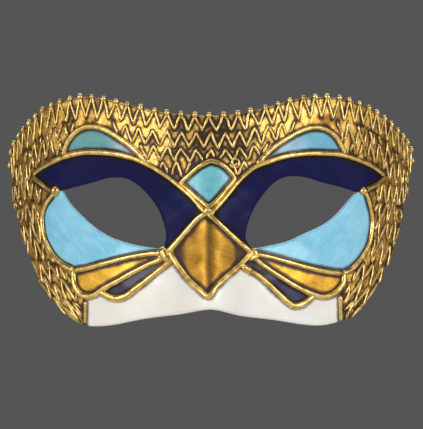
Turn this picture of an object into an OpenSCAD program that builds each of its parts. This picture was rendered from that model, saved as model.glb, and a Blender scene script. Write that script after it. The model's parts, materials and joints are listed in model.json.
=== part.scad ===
// Venetian half mask: a papier-mache face shell with raised gilded lines, enamelled cells,
// a gilded field of zigzag threads, and brass eyelets for the ribbons.
// +X is the viewer's right, the face looks towards -Y, +Z is up. The origin is the point
// at which the mask rests on the bridge of the wearer's nose.

/* [Mask] */
// Width from temple to temple
mask_w = 180; // [166:1:190]
// Height at the middle of an eye
mask_h = 101; // [94:1:108]
// How far the temples sweep back behind the forehead
wrap_depth = 90; // [60:1:95]
// How far the nose ridge stands out at the lower edge
nose_rise = 17; // [10:1:20]
// How deep the eye sockets sink
socket_depth = 5; // [2:0.5:6]

/* [Layers] */
// Thickness of the papier-mache shell
shell_t = 2.6; // [2:0.1:3.2]
// Thickness of the cotton lining
lining_t = 0.7; // [0.5:0.1:1]
// Thickness of the gesso ground below the gold leaf
ground_t = 0.5; // [0.3:0.1:0.6]
// Thickness of the enamel in a cell
enamel_t = 0.8; // [0.5:0.1:1]

/* [Relief] */
// Width of a raised line
line_w = 2.6; // [1.8:0.1:2.8]
// Height of a raised line above the shell
line_h = 1.6; // [1.2:0.1:2]
// Width of a zigzag thread
thread_w = 1.1; // [0.8:0.1:1.2]
// Width of a zigzag thread on the temples
temple_thread_w = 1.5; // [1.2:0.1:1.8]
// Height of a zigzag thread above the ground
thread_h = 0.9; // [0.6:0.1:1.2]
// Distance between two peaks of a zigzag
thread_pitch = 6.2; // [5.5:0.1:8]
// Height of one row of zigzags on the temples
row_drop = 9; // [8:0.5:12]
// Diameter of a drop on the edge
drop_d = 2.5; // [1.6:0.1:2.6]

/* [Ribbon eyelets] */
// Bore of an eyelet
eyelet_bore = 4; // [3:0.5:4.5]
// Diameter of an eyelet's flange
eyelet_flange = 7; // [6:0.1:7.2]

/* [Hidden] */

clearance = 0.05;      // left between two layers
spline_steps = 3;      // steps between two control points of a line
cut_depth = 160;       // length of a tool that cuts straight through the mask
columns = 66;          // steps of the shell from temple to temple
rows = 14;             // steps of the shell from the lower to the upper edge
kx = mask_w / 180;
kz = mask_h / 101;
wrap_reach = 93;
seat = shell_t + clearance + lining_t;
lean_top = 4.5;        // how far the face leans back 50 mm above the origin
lean_bottom = 2;       // how far it leans back 50 mm below it
eye_x = 42;            // distance of an eye socket from the middle
cheek_rise = 2.5;      // how far a cheek swells below the eye
cheek_x = 48;          // distance of a cheek from the middle

// ---------- the face ----------

function smooth(t) = let (c = min(max(t, 0), 1)) c * c * (3 - 2 * c);
function hump(d, w) = exp(-pow(d / w, 2));
function wrap(x) = wrap_depth * (1 - sqrt(1 - pow(min(abs(x), wrap_reach - 1) / wrap_reach, 2)));
function lean(z) = (z > 0 ? lean_top : lean_bottom) * pow(z / 50, 2);
function nose_growth(z) = 0.22 + 0.78 * smooth((4 - z) / 52);
function nose(x, z) = nose_rise * nose_growth(z) * smooth((34 - z) / 40) * hump(x, 11 - z / 9);
function socket(x, z) = socket_depth * hump(abs(x) - eye_x, 25) * hump(z + 3, 17);
function cheek(x, z) = cheek_rise * hump(abs(x) - cheek_x, 22) * hump(z + 38, 16);
function relief(x, z) = wrap(x) + lean(z) - nose(x, z) + socket(x, z) - cheek(x, z);

// Depth of the front face, and the direction in which it looks
function face_y(x, z) = relief(x, z) - relief(0, 0) - seat;
function face_normal(x, z) =
    let (e = 0.2,
         slope_x = (face_y(x + e, z) - face_y(x - e, z)) / (2 * e),
         slope_z = (face_y(x, z + e) - face_y(x, z - e)) / (2 * e),
         n = [slope_x, -1, slope_z])
    n / norm(n);

function unit(v) = v / norm(v);

// A point of the front view, laid on the face and raised by lift
function on_face(p, lift) =
    let (x = p.x * kx, z = p.y * kz)
    [x, face_y(x, z), z] + lift * face_normal(x, z);

// ---------- curves ----------

function pick(p, i) = p[min(max(i, 0), len(p) - 1)];
function spline_at(p, u) =
    let (s = u * (len(p) - 1),
         i = min(floor(s), len(p) - 2),
         t = s - i,
         a = pick(p, i - 1), b = p[i], c = p[i + 1], d = pick(p, i + 2))
    b + 0.5 * t * ((c - a) + t * ((2 * a - 5 * b + 4 * c - d) + t * (3 * (b - c) + d - a)));
function curve(p) =
    let (n = spline_steps * (len(p) - 1))
    [for (i = [0:n]) spline_at(p, i / n)];
function stretch(p, from, to) =
    let (c = curve(p))
    [for (i = [from * spline_steps:to * spline_steps]) c[i]];
function reversed(p) = [for (i = [len(p) - 1:-1:0]) p[i]];

// ---------- outlines, as [x, z] of the front view, from the temple inwards ----------

upper_edge = [
    [-89.6, 18], [-89, 24.5], [-85.6, 31], [-80.2, 37], [-74, 42.6], [-65.5, 46.2], [-55.3, 48],
    [-45.2, 46.4], [-32, 43.2], [-20, 40.6], [-8, 39.6], [0, 39.3], [12, 40.2], [25, 43.2],
    [38, 46.8], [50, 47.8], [60, 46.8], [70.5, 42.8], [77.5, 38], [82.5, 33.5], [86.8, 29],
    [89.4, 24.5], [89.8, 20]
];
lower_edge = [
    [-89.5, 12], [-88.9, 5], [-86.9, -4], [-83.9, -14], [-79.8, -25], [-75, -36.5], [-67.8, -45.3],
    [-57.5, -53], [-45, -53.4], [-30, -50.4], [-15, -48.2], [0, -45.9], [14, -48.8], [28, -50.8],
    [42, -53.1], [52, -53], [63.5, -49], [70, -41], [76, -31], [80.8, -21], [84.5, -9],
    [87.5, 4], [89.4, 14]
];

eye_left = concat(
    curve([[-66.4, 6.5], [-60, 8], [-52, 10], [-45, 11.8], [-38, 11.6], [-32, 8.2], [-27, 3],
           [-23.5, -2], [-21, -8.5], [-20, -14], [-21.5, -19.3]]),
    curve([[-21.5, -19.3], [-30, -18.2], [-38, -16.3], [-45, -13.8], [-52, -9.6], [-58, -4.5],
           [-63, 0.7], [-66.4, 6.5]]));
eye_right = concat(
    curve([[64.8, 5.6], [58, 7.8], [50, 9.7], [42, 12], [35, 12.5], [29, 10.3], [23, 4.2],
           [18.5, -3], [16, -10], [15.7, -15], [18.5, -19.3]]),
    curve([[18.5, -19.3], [26, -17.8], [34, -15.8], [42, -12.2], [50, -8.5], [56, -4],
           [61, 1.5], [64.8, 5.6]]));

brow_left = [
    [-79, 13.8], [-74, 17.3], [-65.4, 21.2], [-56, 23.3], [-45, 22.9], [-36, 21.1],
    [-28.5, 18.1], [-21, 13.6], [-14.6, 8.8], [-8.4, 3.4], [-4.2, -1.6]
];
brow_right = [
    [77, 13.3], [70, 18], [58.5, 22], [50, 22.8], [42, 22.7], [32, 21.2],
    [20.5, 17.2], [16, 14.2], [12.4, 10.8], [7, 4.2], [1.6, -2]
];
lid_left = [
    [-65, 23.2], [-64.3, 25.5], [-62.5, 29.2], [-58.5, 33.2], [-53, 34.9], [-47, 33.3],
    [-40, 29.2], [-34, 24.8], [-29.4, 20.4]
];
lid_right = [
    [58.5, 24], [57, 27], [54.8, 30.4], [51, 33.2], [46, 34.3], [40, 32.8],
    [33, 29], [27, 24.9], [21.6, 19.6]
];
temple_left = [[-78.4, 12], [-75.5, 9.6], [-73, 7.7], [-70.8, 6.7]];
temple_right = [[76.5, 11.5], [74.3, 9.7], [71.8, 8.2], [69.2, 7.1]];
cheek_left = [
    [-70.4, 4.2], [-73, 0.8], [-74.7, -4], [-74.9, -8.5], [-74, -14], [-71.8, -19],
    [-69.2, -23], [-65.5, -26.4], [-61.8, -28.3]
];
cheek_right = [
    [69, 4.2], [70.2, 0.5], [71.3, -5], [71.4, -10], [70.3, -16.5], [68, -21.3],
    [65.2, -25.3], [61.8, -28.6], [59.4, -29.8]
];
petal_top_left = [[-22.6, -21.2], [-30, -22], [-38, -23.5], [-46, -25.6], [-54, -27.8], [-60, -29]];
petal_top_right = [[20.8, -21.8], [28, -23.5], [36, -25.8], [44, -28], [51, -29.5], [57.4, -30.2]];
gold_petal_left = [
    [-60.7, -30.6], [-60.4, -34.5], [-58.5, -38.3], [-55.5, -40.3], [-51.5, -39.8],
    [-47, -36.8], [-40, -32.9], [-33, -29], [-27, -26], [-22.4, -24.2]
];
gold_petal_right = [
    [58.6, -31.6], [58.2, -34.5], [56, -37.6], [52.5, -39.8], [48.5, -40.3],
    [44, -39], [38, -36.2], [31, -32], [24, -27.3], [19.6, -24]
];
dark_petal_left = [
    [-47.6, -39], [-44, -40.8], [-40.8, -41.2], [-37, -39.9], [-33, -36.8],
    [-28, -33], [-23, -29], [-18.6, -25.6]
];
dark_petal_right = [
    [43.6, -41.2], [40.2, -43.7], [36.5, -44.4], [33.5, -42.6], [29.5, -38.9],
    [25.5, -35.2], [21, -31.4], [16.6, -28.8]
];
forehead_left = [[-13.2, 9.8], [-9.5, 13.2], [-5, 17], [0, 19.4]];
forehead_right = [[0, 19.4], [4.5, 17.9], [8, 15], [10.4, 11.6]];
forehead_lower = [[10.4, 11.6], [7, 7.4], [3.6, 3.3], [-0.8, -0.6], [-5, 2.2], [-9, 5.9], [-13.2, 9.8]];
nose_upper_left = [[-18.2, -20.6], [-13.5, -15], [-9, -9.8], [-5.2, -5.6], [-1.6, -3.6]];
nose_upper_right = [[-1.6, -3.6], [3, -7.8], [8, -12.6], [13, -17.2], [17.6, -21]];
nose_lower = [
    [17.6, -21], [14, -25], [10, -28.6], [6, -32], [2, -36], [-1.2, -40],
    [-5, -37], [-8.5, -34], [-12, -29.8], [-15.5, -25], [-18.2, -20.6]
];
ivory_left = [[-55.3, -42.4], [-55.4, -47], [-55.6, -52.4]];
ivory_right = [[56.9, -40], [57, -46], [57.2, -51.2]];
below = -70;           // a height well below the lower edge

// ---------- cells between the lines ----------

lid_cell_left = concat(curve(lid_left), reversed(stretch(brow_left, 2, 6)));
lid_cell_right = concat(curve(lid_right), reversed(stretch(brow_right, 2, 6)));
brow_cell_left = concat(curve(brow_left), reversed(curve(nose_upper_left)),
                        [[-21, -18.6]], [[-66, 6.5]], reversed(curve(temple_left)));
brow_cell_right = concat(curve(brow_right), curve(nose_upper_right),
                         [[18.2, -18.6]], [[64.5, 5.8]], reversed(curve(temple_right)));
cheek_cell_left = concat(curve(cheek_left), reversed(curve(petal_top_left)),
                         [[-22, -18]], [[-67, 6.4]]);
cheek_cell_right = concat(curve(cheek_right), reversed(curve(petal_top_right)),
                          [[19, -18]], [[65.4, 5.6]]);
gold_petal_cell_left = concat(curve(gold_petal_left), curve(petal_top_left));
gold_petal_cell_right = concat(curve(gold_petal_right), curve(petal_top_right));
dark_petal_cell_left = concat(curve(dark_petal_left), reversed(stretch(gold_petal_left, 5, 9)));
dark_petal_cell_right = concat(curve(dark_petal_right), reversed(stretch(gold_petal_right, 5, 9)));
forehead_cell = concat(curve(forehead_left), curve(forehead_right), curve(forehead_lower));
nose_cell = concat(curve(nose_upper_left), curve(nose_upper_right), curve(nose_lower));
ivory_cell = concat(
    [[-55.4, below]], [[-55.3, -41]], stretch(gold_petal_left, 3, 5), curve(dark_petal_left),
    reversed(stretch(nose_lower, 1, 9)), reversed(curve(dark_petal_right)),
    reversed(stretch(gold_petal_right, 3, 5)), [[56.9, -38.4]], [[57, below]]);
// Everything that the gilded field goes round
all_cells = concat(
    stretch(brow_left, 0, 2), curve(lid_left), stretch(brow_left, 6, 8),
    curve(forehead_left), curve(forehead_right),
    reversed(stretch(brow_right, 6, 8)), reversed(curve(lid_right)),
    reversed(stretch(brow_right, 0, 2)), curve(temple_right), curve(cheek_right),
    stretch(gold_petal_right, 0, 2), [[57, -39]], [[57, below]],
    [[-55.4, below]], [[-55.3, -41]], reversed(stretch(gold_petal_left, 0, 3)),
    reversed(curve(cheek_left)), reversed(curve(temple_left)));

// ---------- skins ----------

// Point of the shell's outline at share u from the left temple and share v from the lower edge
function sheet_at(u, v) = spline_at(lower_edge, u) * (1 - v) + spline_at(upper_edge, u) * v;

// A closed skin over the part of the face between shares u and v, from lift low to high,
// in steps that are coarser by the given factor
module skin(low, high, u = [0, 1], v = [0, 1], coarser = 1) {
    nu = ceil(columns * (u[1] - u[0]) / coarser);
    nv = ceil(rows * (v[1] - v[0]) / coarser);
    stride = nv + 1;
    layer = (nu + 1) * stride;
    grid = [for (i = [0:nu]) for (j = [0:nv])
        sheet_at(u[0] + (u[1] - u[0]) * i / nu, v[0] + (v[1] - v[0]) * j / nv)];
    front = [for (i = [0:nu - 1]) for (j = [0:nv - 1]) for (k = [0, 1])
        let (a = i * stride + j, b = a + stride)
        k == 0 ? [a, a + 1, b] : [b, a + 1, b + 1]];
    back = [for (f = front) [f[2] + layer, f[1] + layer, f[0] + layer]];
    rim = concat(
        [for (i = [0:nu]) i * stride],
        [for (j = [1:nv]) nu * stride + j],
        [for (i = [nu - 1:-1:0]) i * stride + nv],
        [for (j = [nv - 1:-1:1]) j]);
    edge = [for (i = [0:len(rim) - 1]) for (k = [0, 1])
        let (a = rim[i], b = rim[(i + 1) % len(rim)])
        k == 0 ? [a, b, a + layer] : [b, b + layer, a + layer]];
    polyhedron(
        points = concat([for (p = grid) on_face(p, high)], [for (p = grid) on_face(p, low)]),
        faces = concat(front, back, edge));
}

// A tool of the shape of a cell that cuts along Y, grown by grow
module through(cell, grow = 0) {
    rotate([90, 0, 0])
        linear_extrude(cut_depth, center = true)
            scale([kx, kz])
                offset(delta = grow)
                    polygon(cell);
}

module eyes(grow = 0) {
    through(eye_left, grow);
    through(eye_right, grow);
}

// Shares between which the skin's columns cover a cell
function span_u(cell) =
    let (xs = [for (p = cell) p.x],
         spare = 3,
         hit = [for (i = [0:columns])
             let (low = sheet_at(i / columns, 0).x, high = sheet_at(i / columns, 1).x)
             if (max(low, high) > min(xs) - spare && min(low, high) < max(xs) + spare) i])
    [hit[0] / columns, hit[len(hit) - 1] / columns];

// The enamel of one cell, clear of the lines around it and of the eyes
module enamel(cell) {
    difference() {
        intersection() {
            skin(clearance, enamel_t, u = span_u(cell));
            through(cell, -line_w / 2 - clearance);
        }
        eyes();
    }
}

// ---------- lines, threads and beads ----------

// A raised bead with a flat foot that follows points of the front view
module bead_along(points, width, height, foot = 0, sides = 5, closed = false) {
    n = len(points);
    at = [for (p = points) on_face(p, foot)];
    up = [for (p = points) face_normal(p.x * kx, p.y * kz)];
    step = [for (i = [0:n - 1]) unit(at[(i + 1) % n] - at[i])];
    along = [for (i = [0:n - 1])
        closed || (i > 0 && i < n - 1) ? step[i] + step[(i + n - 1) % n] : step[i == 0 ? 0 : n - 2]];
    ring = [for (i = [0:n - 1]) for (k = [0:sides - 1])
        let (side = unit(cross(up[i], along[i])), a = 180 * k / (sides - 1))
        at[i] + side * (cos(a) * width / 2) + up[i] * (sin(a) * height)];
    spans = closed ? n : n - 1;
    walls = [for (i = [0:spans - 1]) for (k = [0:sides - 1]) for (h = [0, 1])
        let (l = (k + 1) % sides, a = i * sides, b = ((i + 1) % n) * sides)
        h == 0 ? [a + k, a + l, b + k] : [b + k, a + l, b + l]];
    caps = closed ? [] : [
        [for (k = [sides - 1:-1:0]) k],
        [for (k = [0:sides - 1]) (n - 1) * sides + k]];
    polyhedron(points = ring, faces = concat(walls, caps));
}

module raised_line(p) {
    bead_along(curve(p), line_w, line_h);
}

// A round drop of diameter d that stands on the face
module drop(p, d, sink = 0.3) {
    translate(on_face(p, d / 2 - sink))
        sphere(d = d, $fn = 20);
}

// Running length of a path that lies on the face, as pairs of length and share
function running_length(p) =
    let (n = 60, q = [for (i = [0:n]) on_face(spline_at(p, i / n), 0)])
    [for (i = 0, s = 0; i <= n; s = s + norm(q[min(i + 1, n)] - q[i]), i = i + 1) [s, i / n]];

// Shares at which the corners of a zigzag lie: two at each peak and two at each valley
corners = [0.08, 0.3, 0.58, 0.8];
function zigzag(top, bottom, pitch) =
    let (t = running_length(top),
         total = t[len(t) - 1][0],
         n = max(1, floor(total / pitch)))
    [for (k = [0:n - 1]) for (c = [0:3])
        let (u = lookup((k + corners[c]) * total / n, t))
        spline_at(c < 2 ? top : bottom, u)];
function dropped(p, d) = [for (q = p) q - [0, d]];

module thread(top, bottom, width = thread_w) {
    bead_along(zigzag(top, bottom, thread_pitch), width, thread_h, foot = ground_t + clearance, sides = 4);
}

// The threads stop at the lines around the cells
module clear_of_cells() {
    difference() {
        children();
        through(all_cells, line_w / 2 + clearance);
    }
}

// ---------- ribbon eyelets ----------

eyelet_at_left = [-84.9, -4.4];
eyelet_at_right = [83.6, -4.4];
eyelet_proud = 0.5;    // how far an eyelet stands above the ground and the lining
eyelet_margin = 1.4;   // bare ground left between an eyelet's flange and the threads
eyelet_low = -seat - eyelet_proud;
eyelet_high = ground_t + clearance + eyelet_proud;

module along_face(p, lift) {
    n = face_normal(p.x * kx, p.y * kz);
    translate(on_face(p, lift))
        rotate([0, acos(n.z), atan2(n.y, n.x)])
            children();
}

module eyelet_seat(d) {
    for (p = [eyelet_at_left, eyelet_at_right])
        along_face(p, -10)
            cylinder(d = d, h = 20, $fn = 48);
}

module eyelet(p) {
    wall = 0.45;
    flange_t = 0.45;
    length = eyelet_high - eyelet_low;
    r = eyelet_bore / 2;
    color("goldenrod")
        along_face(p, eyelet_low)
            rotate_extrude($fn = 48)
                polygon([
                    [r, 0], [eyelet_flange / 2, 0], [eyelet_flange / 2, flange_t],
                    [r + wall, flange_t], [r + wall, length - flange_t],
                    [eyelet_flange / 2, length - flange_t], [eyelet_flange / 2, length],
                    [r, length]]);
}

// ---------- pieces: shell, lining and ground ----------

module shell() {
    color("peru")
        difference() {
            skin(-shell_t, 0);
            eyes();
            eyelet_seat(eyelet_bore + 1);
        }
}

module lining() {
    inset_u = 0.012;
    inset_v = 0.03;
    color("darkslategray")
        difference() {
            skin(-seat, -shell_t - clearance,
                 u = [inset_u, 1 - inset_u], v = [inset_v, 1 - inset_v], coarser = 1.6);
            eyes(1.5);
            eyelet_seat(eyelet_bore + 1);
        }
}

module gilded_ground() {
    color("goldenrod")
        difference() {
            skin(clearance, ground_t);
            through(all_cells, line_w / 2 + clearance);
            eyelet_seat(eyelet_bore + 1);
        }
}

module ivory_panel() { color("ivory") enamel(ivory_cell); }

// ---------- pieces: enamelled cells ----------

module lid_panel_left() { color("cadetblue") enamel(lid_cell_left); }
module lid_panel_right() { color("cadetblue") enamel(lid_cell_right); }
module brow_panel_left() { color("midnightblue") enamel(brow_cell_left); }
module brow_panel_right() { color("midnightblue") enamel(brow_cell_right); }
module cheek_panel_left() { color("skyblue") enamel(cheek_cell_left); }
module cheek_panel_right() { color("skyblue") enamel(cheek_cell_right); }
module gold_petal_left() { color("goldenrod") enamel(gold_petal_cell_left); }
module gold_petal_right() { color("goldenrod") enamel(gold_petal_cell_right); }
module dark_petal_left() { color("darkslateblue") enamel(dark_petal_cell_left); }
module dark_petal_right() { color("darkslateblue") enamel(dark_petal_cell_right); }
module forehead_panel() { color("cadetblue") enamel(forehead_cell); }
module nose_panel() { color("goldenrod") enamel(nose_cell); }

// ---------- pieces: raised lines ----------

module brow_line_left() { color("gold") raised_line(brow_left); }
module brow_line_right() { color("gold") raised_line(brow_right); }
module lid_line_left() { color("gold") raised_line(lid_left); }
module lid_line_right() { color("gold") raised_line(lid_right); }
module temple_line_left() { color("gold") raised_line(temple_left); }
module temple_line_right() { color("gold") raised_line(temple_right); }
module cheek_line_left() { color("gold") raised_line(cheek_left); }
module cheek_line_right() { color("gold") raised_line(cheek_right); }
module petal_top_line_left() { color("gold") raised_line(petal_top_left); }
module petal_top_line_right() { color("gold") raised_line(petal_top_right); }
module gold_petal_line_left() { color("gold") raised_line(gold_petal_left); }
module gold_petal_line_right() { color("gold") raised_line(gold_petal_right); }
module dark_petal_line_left() { color("gold") raised_line(dark_petal_left); }
module dark_petal_line_right() { color("gold") raised_line(dark_petal_right); }
module ivory_line_left() { color("gold") raised_line(ivory_left); }
module ivory_line_right() { color("gold") raised_line(ivory_right); }

// The points of a closed rim, without the points that two stretches share
function ring_of(p) = [for (i = [0:len(p) - 1]) if (norm(p[i] - p[(i + 1) % len(p)]) > 0.01) p[i]];

module forehead_rim() {
    color("gold") bead_along(ring_of(forehead_cell), line_w * 0.8, line_h, closed = true);
}

module nose_rim() {
    color("gold") bead_along(ring_of(nose_cell), line_w, line_h, closed = true);
}

// ---------- pieces: beads and knobs ----------

module corner_bead_left() { color("gold") drop([-68.6, 6.2], 3.6); }
module corner_bead_right() { color("gold") drop([67.2, 6.2], 3.4); }
module junction_knob_left() { color("gold") drop([-20, -21.8], 5.2, 1.2); }
module junction_knob_right() { color("gold") drop([19.2, -21.6], 3.2, 0.5); }
module petal_knob_right() { color("gold") drop([14.6, -28], 3.4, 0.5); }

// A thread that curls round on itself beside the forehead cell
module forehead_scroll() {
    turns = 1.4;
    color("gold")
        bead_along([for (i = [0:20]) let (a = 200 + 360 * turns * i / 20, r = 2.4 - 1.6 * i / 20)
                       [10.4 + r * cos(a), 18.6 + r * sin(a)]],
                   thread_w, thread_h, foot = ground_t + clearance);
}

// ---------- pieces: zigzag threads ----------

// Rows over the forehead, each as its top line and its drop
forehead_rows = [
    [[[-72, 42.4], [-64, 45.6], [-55, 47], [-45, 45.4], [-32, 42.2], [-20, 39.6], [-8, 38.6],
      [0, 38.3], [12, 39.2], [25, 42.2], [38, 45.8], [50, 46.8], [60, 45.8], [68, 42.8]], 5.2],
    [[[-44, 37.8], [-34, 35], [-22, 32.8], [-8, 31.7], [0, 31.4], [12, 32.4], [24, 35], [36, 38.4]], 4.8],
    [[[-30, 26.2], [-20, 25.8], [-10, 25.2], [0, 24.8], [10, 25.4], [24, 27.6]], 4],
    [[[-25, 19.6], [-18, 19.6], [-12, 19.6]], 4.5]
];

module threads_forehead() {
    color("gold")
        clear_of_cells()
            for (row = forehead_rows)
                thread(row[0], dropped(row[0], row[1]));
}

// Shares of the sheet's width within which a temple's rows run, at the height z
outer_left = [
    [-52, -59], [-45, -68], [-36.5, -75], [-25, -79.8], [-14, -83.9], [-4, -86.9],
    [5, -88.9], [18, -89.6], [24.5, -88.6], [31, -85.4], [38, -79]
];
inner_left = [
    [-52, -56.5], [-40, -58], [-30, -61], [-20, -71], [-8, -75], [5, -70], [13, -79], [23, -64], [40, -60]
];
outer_right = [
    [-50, 61], [-41, 70], [-31, 76], [-21, 80.8], [-9, 84.5], [4, 87.5],
    [14, 89.4], [20, 89.6], [24.5, 89.2], [29, 86.6], [38, 77.5]
];
inner_right = [
    [-50, 58], [-38, 58], [-30, 60], [-18, 69.5], [-5, 71.5], [5, 69], [13, 77], [22, 59], [40, 55]
];

module temple_threads(outer, inner, first_z, count) {
    color("gold")
        difference() {
            clear_of_cells()
                for (i = [0:count - 1]) {
                    z = first_z - row_drop * i;
                    low = z - row_drop + temple_thread_w + 0.2;
                    top_ends = [lookup(z, outer) * 0.996, lookup(z, inner)];
                    low_ends = [lookup(low, outer) * 0.996, lookup(low, inner)];
                    share = [0, 0.35, 0.7, 1];
                    thread([for (s = share) [top_ends[0] + (top_ends[1] - top_ends[0]) * s, z]],
                           [for (s = share) [low_ends[0] + (low_ends[1] - low_ends[0]) * s, low]],
                           temple_thread_w);
                }
            eyelet_seat(eyelet_flange + 2 * eyelet_margin);
        }
}

module threads_left() { temple_threads(outer_left, inner_left, 35.4, 10); }
module threads_right() { temple_threads(outer_right, inner_right, 36, 9); }

// ---------- pieces: drops on the edge ----------

// The drops sit at even distances along the upper edge, from temple to temple
module edge_drops() {
    t = running_length(upper_edge);
    total = t[len(t) - 1][0];
    n = floor(total / thread_pitch);
    sink = 0.25;
    color("gold")
        for (k = [0:n])
            translate(on_face(spline_at(upper_edge, lookup(total * k / n, t)), drop_d / 2 + ground_t - sink))
                sphere(d = drop_d, $fn = 20);
}

// ---------- pieces: eyelets ----------

module ribbon_eyelet_left() { eyelet(eyelet_at_left); }
module ribbon_eyelet_right() { eyelet(eyelet_at_right); }

shell();
lining();
gilded_ground();
ivory_panel();
lid_panel_left();
lid_panel_right();
brow_panel_left();
brow_panel_right();
cheek_panel_left();
cheek_panel_right();
gold_petal_left();
gold_petal_right();
dark_petal_left();
dark_petal_right();
forehead_panel();
nose_panel();
brow_line_left();
brow_line_right();
lid_line_left();
lid_line_right();
temple_line_left();
temple_line_right();
cheek_line_left();
cheek_line_right();
petal_top_line_left();
petal_top_line_right();
gold_petal_line_left();
gold_petal_line_right();
dark_petal_line_left();
dark_petal_line_right();
forehead_rim();
nose_rim();
ivory_line_left();
ivory_line_right();
corner_bead_left();
corner_bead_right();
junction_knob_left();
junction_knob_right();
petal_knob_right();
forehead_scroll();
threads_forehead();
threads_left();
threads_right();
edge_drops();
ribbon_eyelet_left();
ribbon_eyelet_right();
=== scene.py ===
"""A Venetian half mask: gilded relief, enamelled cells, papier-mache shell and cotton lining.

The mask's own sizes are in millimetres of its front view, as [x, z] seen from the front, and the
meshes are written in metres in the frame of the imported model.
"""
import sys
import json
import logging
import math
from dataclasses import dataclass, field
from enum import Enum
from typing import Callable, Sequence

import bpy
import numpy as np
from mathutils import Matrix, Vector, kdtree
from mathutils.geometry import delaunay_2d_cdt


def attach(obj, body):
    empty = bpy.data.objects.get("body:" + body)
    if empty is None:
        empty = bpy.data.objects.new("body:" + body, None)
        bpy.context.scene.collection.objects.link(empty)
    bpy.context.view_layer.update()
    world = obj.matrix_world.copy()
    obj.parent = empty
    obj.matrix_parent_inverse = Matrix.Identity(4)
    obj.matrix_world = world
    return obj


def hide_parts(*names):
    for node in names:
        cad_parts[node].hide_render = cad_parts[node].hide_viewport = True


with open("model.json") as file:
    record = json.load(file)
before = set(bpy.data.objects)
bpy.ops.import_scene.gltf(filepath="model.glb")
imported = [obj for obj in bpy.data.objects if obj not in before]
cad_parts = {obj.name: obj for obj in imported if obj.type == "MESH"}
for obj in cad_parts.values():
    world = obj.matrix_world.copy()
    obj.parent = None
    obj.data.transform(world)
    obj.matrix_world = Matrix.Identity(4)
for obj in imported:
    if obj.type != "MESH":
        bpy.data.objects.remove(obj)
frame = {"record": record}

log = logging.getLogger("half_mask")

MM = 0.001
ROOT = "root"
FAR = 10.0  # the largest distance that is kept on a point, in millimetres
CREST = 1.2  # the height above the face at which a bead counts as its own crest, in millimetres
CHUNK = 3000  # how many points are measured at a time

Colour = tuple[float, float, float]
Points = np.ndarray


# ---- Shader and geometry trees ----

class Value:
    """A number in a node tree, on which arithmetic adds Math nodes."""

    def __init__(self, tree: bpy.types.NodeTree, socket: bpy.types.NodeSocket) -> None:
        """Wraps a socket.

        Args:
            tree: the tree that the socket belongs to.
            socket: an output socket that carries a number.
        """
        self.tree = tree
        self.socket = socket

    def _math(self, operation: str, first: "Value | float", second: "Value | float | None" = None,
              clamp: bool = False) -> "Value":
        """Adds one Math node and returns its result.

        Args:
            operation: the Math node's operation.
            first: the upper input.
            second: the lower input, or None where the operation has one input.
            clamp: whether the result is kept between 0 and 1.

        Returns:
            The node's output.
        """
        node = self.tree.nodes.new("ShaderNodeMath")
        node.operation = operation
        node.use_clamp = clamp
        for socket, value in zip(node.inputs, (first, second)):
            if isinstance(value, Value):
                self.tree.links.new(value.socket, socket)
            elif value is not None:
                socket.default_value = value
        return Value(self.tree, node.outputs[0])

    def __add__(self, other: "Value | float") -> "Value":
        """Sum."""
        return self._math("ADD", self, other)

    def __radd__(self, other: float) -> "Value":
        """Sum with a number on the left."""
        return self._math("ADD", other, self)

    def __sub__(self, other: "Value | float") -> "Value":
        """Difference."""
        return self._math("SUBTRACT", self, other)

    def __rsub__(self, other: float) -> "Value":
        """Difference from a number."""
        return self._math("SUBTRACT", other, self)

    def __mul__(self, other: "Value | float") -> "Value":
        """Product."""
        return self._math("MULTIPLY", self, other)

    def clamped(self) -> "Value":
        """The value kept between 0 and 1."""
        return self._math("ADD", self, 0.0, clamp=True)

    def step(self, low: float, high: float) -> "Value":
        """A straight rise from 0 at low to 1 at high, or a fall where low is above high."""
        return ((self - low) * (1.0 / (high - low))).clamped()

    def magnitude(self) -> "Value":
        """The value without its sign."""
        return self._math("ABSOLUTE", self)

    def sine(self) -> "Value":
        """The sine of the value, which is an angle in radians."""
        return self._math("SINE", self)


class Tree:
    """A node tree with one way of adding nodes."""

    def __init__(self, tree: bpy.types.NodeTree) -> None:
        """Wraps a tree.

        Args:
            tree: a shader or geometry node tree.
        """
        self.tree = tree

    def node(self, kind: str, settings: dict | None = None, sockets: dict | None = None) -> bpy.types.Node:
        """Adds a node.

        Args:
            kind: the node's type.
            settings: properties, which are set first; "stops" fills a colour ramp.
            sockets: values or links of the inputs, by name or by number.

        Returns:
            The new node.
        """
        node = self.tree.nodes.new(kind)
        for key, value in (settings or {}).items():
            if key == "stops":
                self._fill_ramp(node, value)
            else:
                setattr(node, key, value)
        for key, value in (sockets or {}).items():
            self._feed(node.inputs[key], value)
        return node

    def _feed(self, socket: bpy.types.NodeSocket, value: object) -> None:
        """Sets an input, or links it.

        Args:
            socket: the input.
            value: a number, a tuple, a Value or an output socket.
        """
        if isinstance(value, Value):
            self.tree.links.new(value.socket, socket)
        elif isinstance(value, bpy.types.NodeSocket):
            self.tree.links.new(value, socket)
        elif isinstance(value, tuple) and len(value) == 3 and len(getattr(socket, "default_value", ())) == 4:
            socket.default_value = (*value, 1.0)
        else:
            socket.default_value = value

    @staticmethod
    def _fill_ramp(node: bpy.types.Node, stops: Sequence[tuple[float, Colour]]) -> None:
        """Sets the stops of a colour ramp.

        Args:
            node: the ramp.
            stops: positions and colours, in order.
        """
        elements = node.color_ramp.elements
        while len(elements) < len(stops):
            elements.new(0.5)
        for element, (position, colour) in zip(elements, stops):
            element.position = position
            element.color = (*colour, 1.0)

    def value(self, node: bpy.types.Node, output: str | int = 0) -> Value:
        """A node's output as a value."""
        return Value(self.tree, node.outputs[output])


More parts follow.
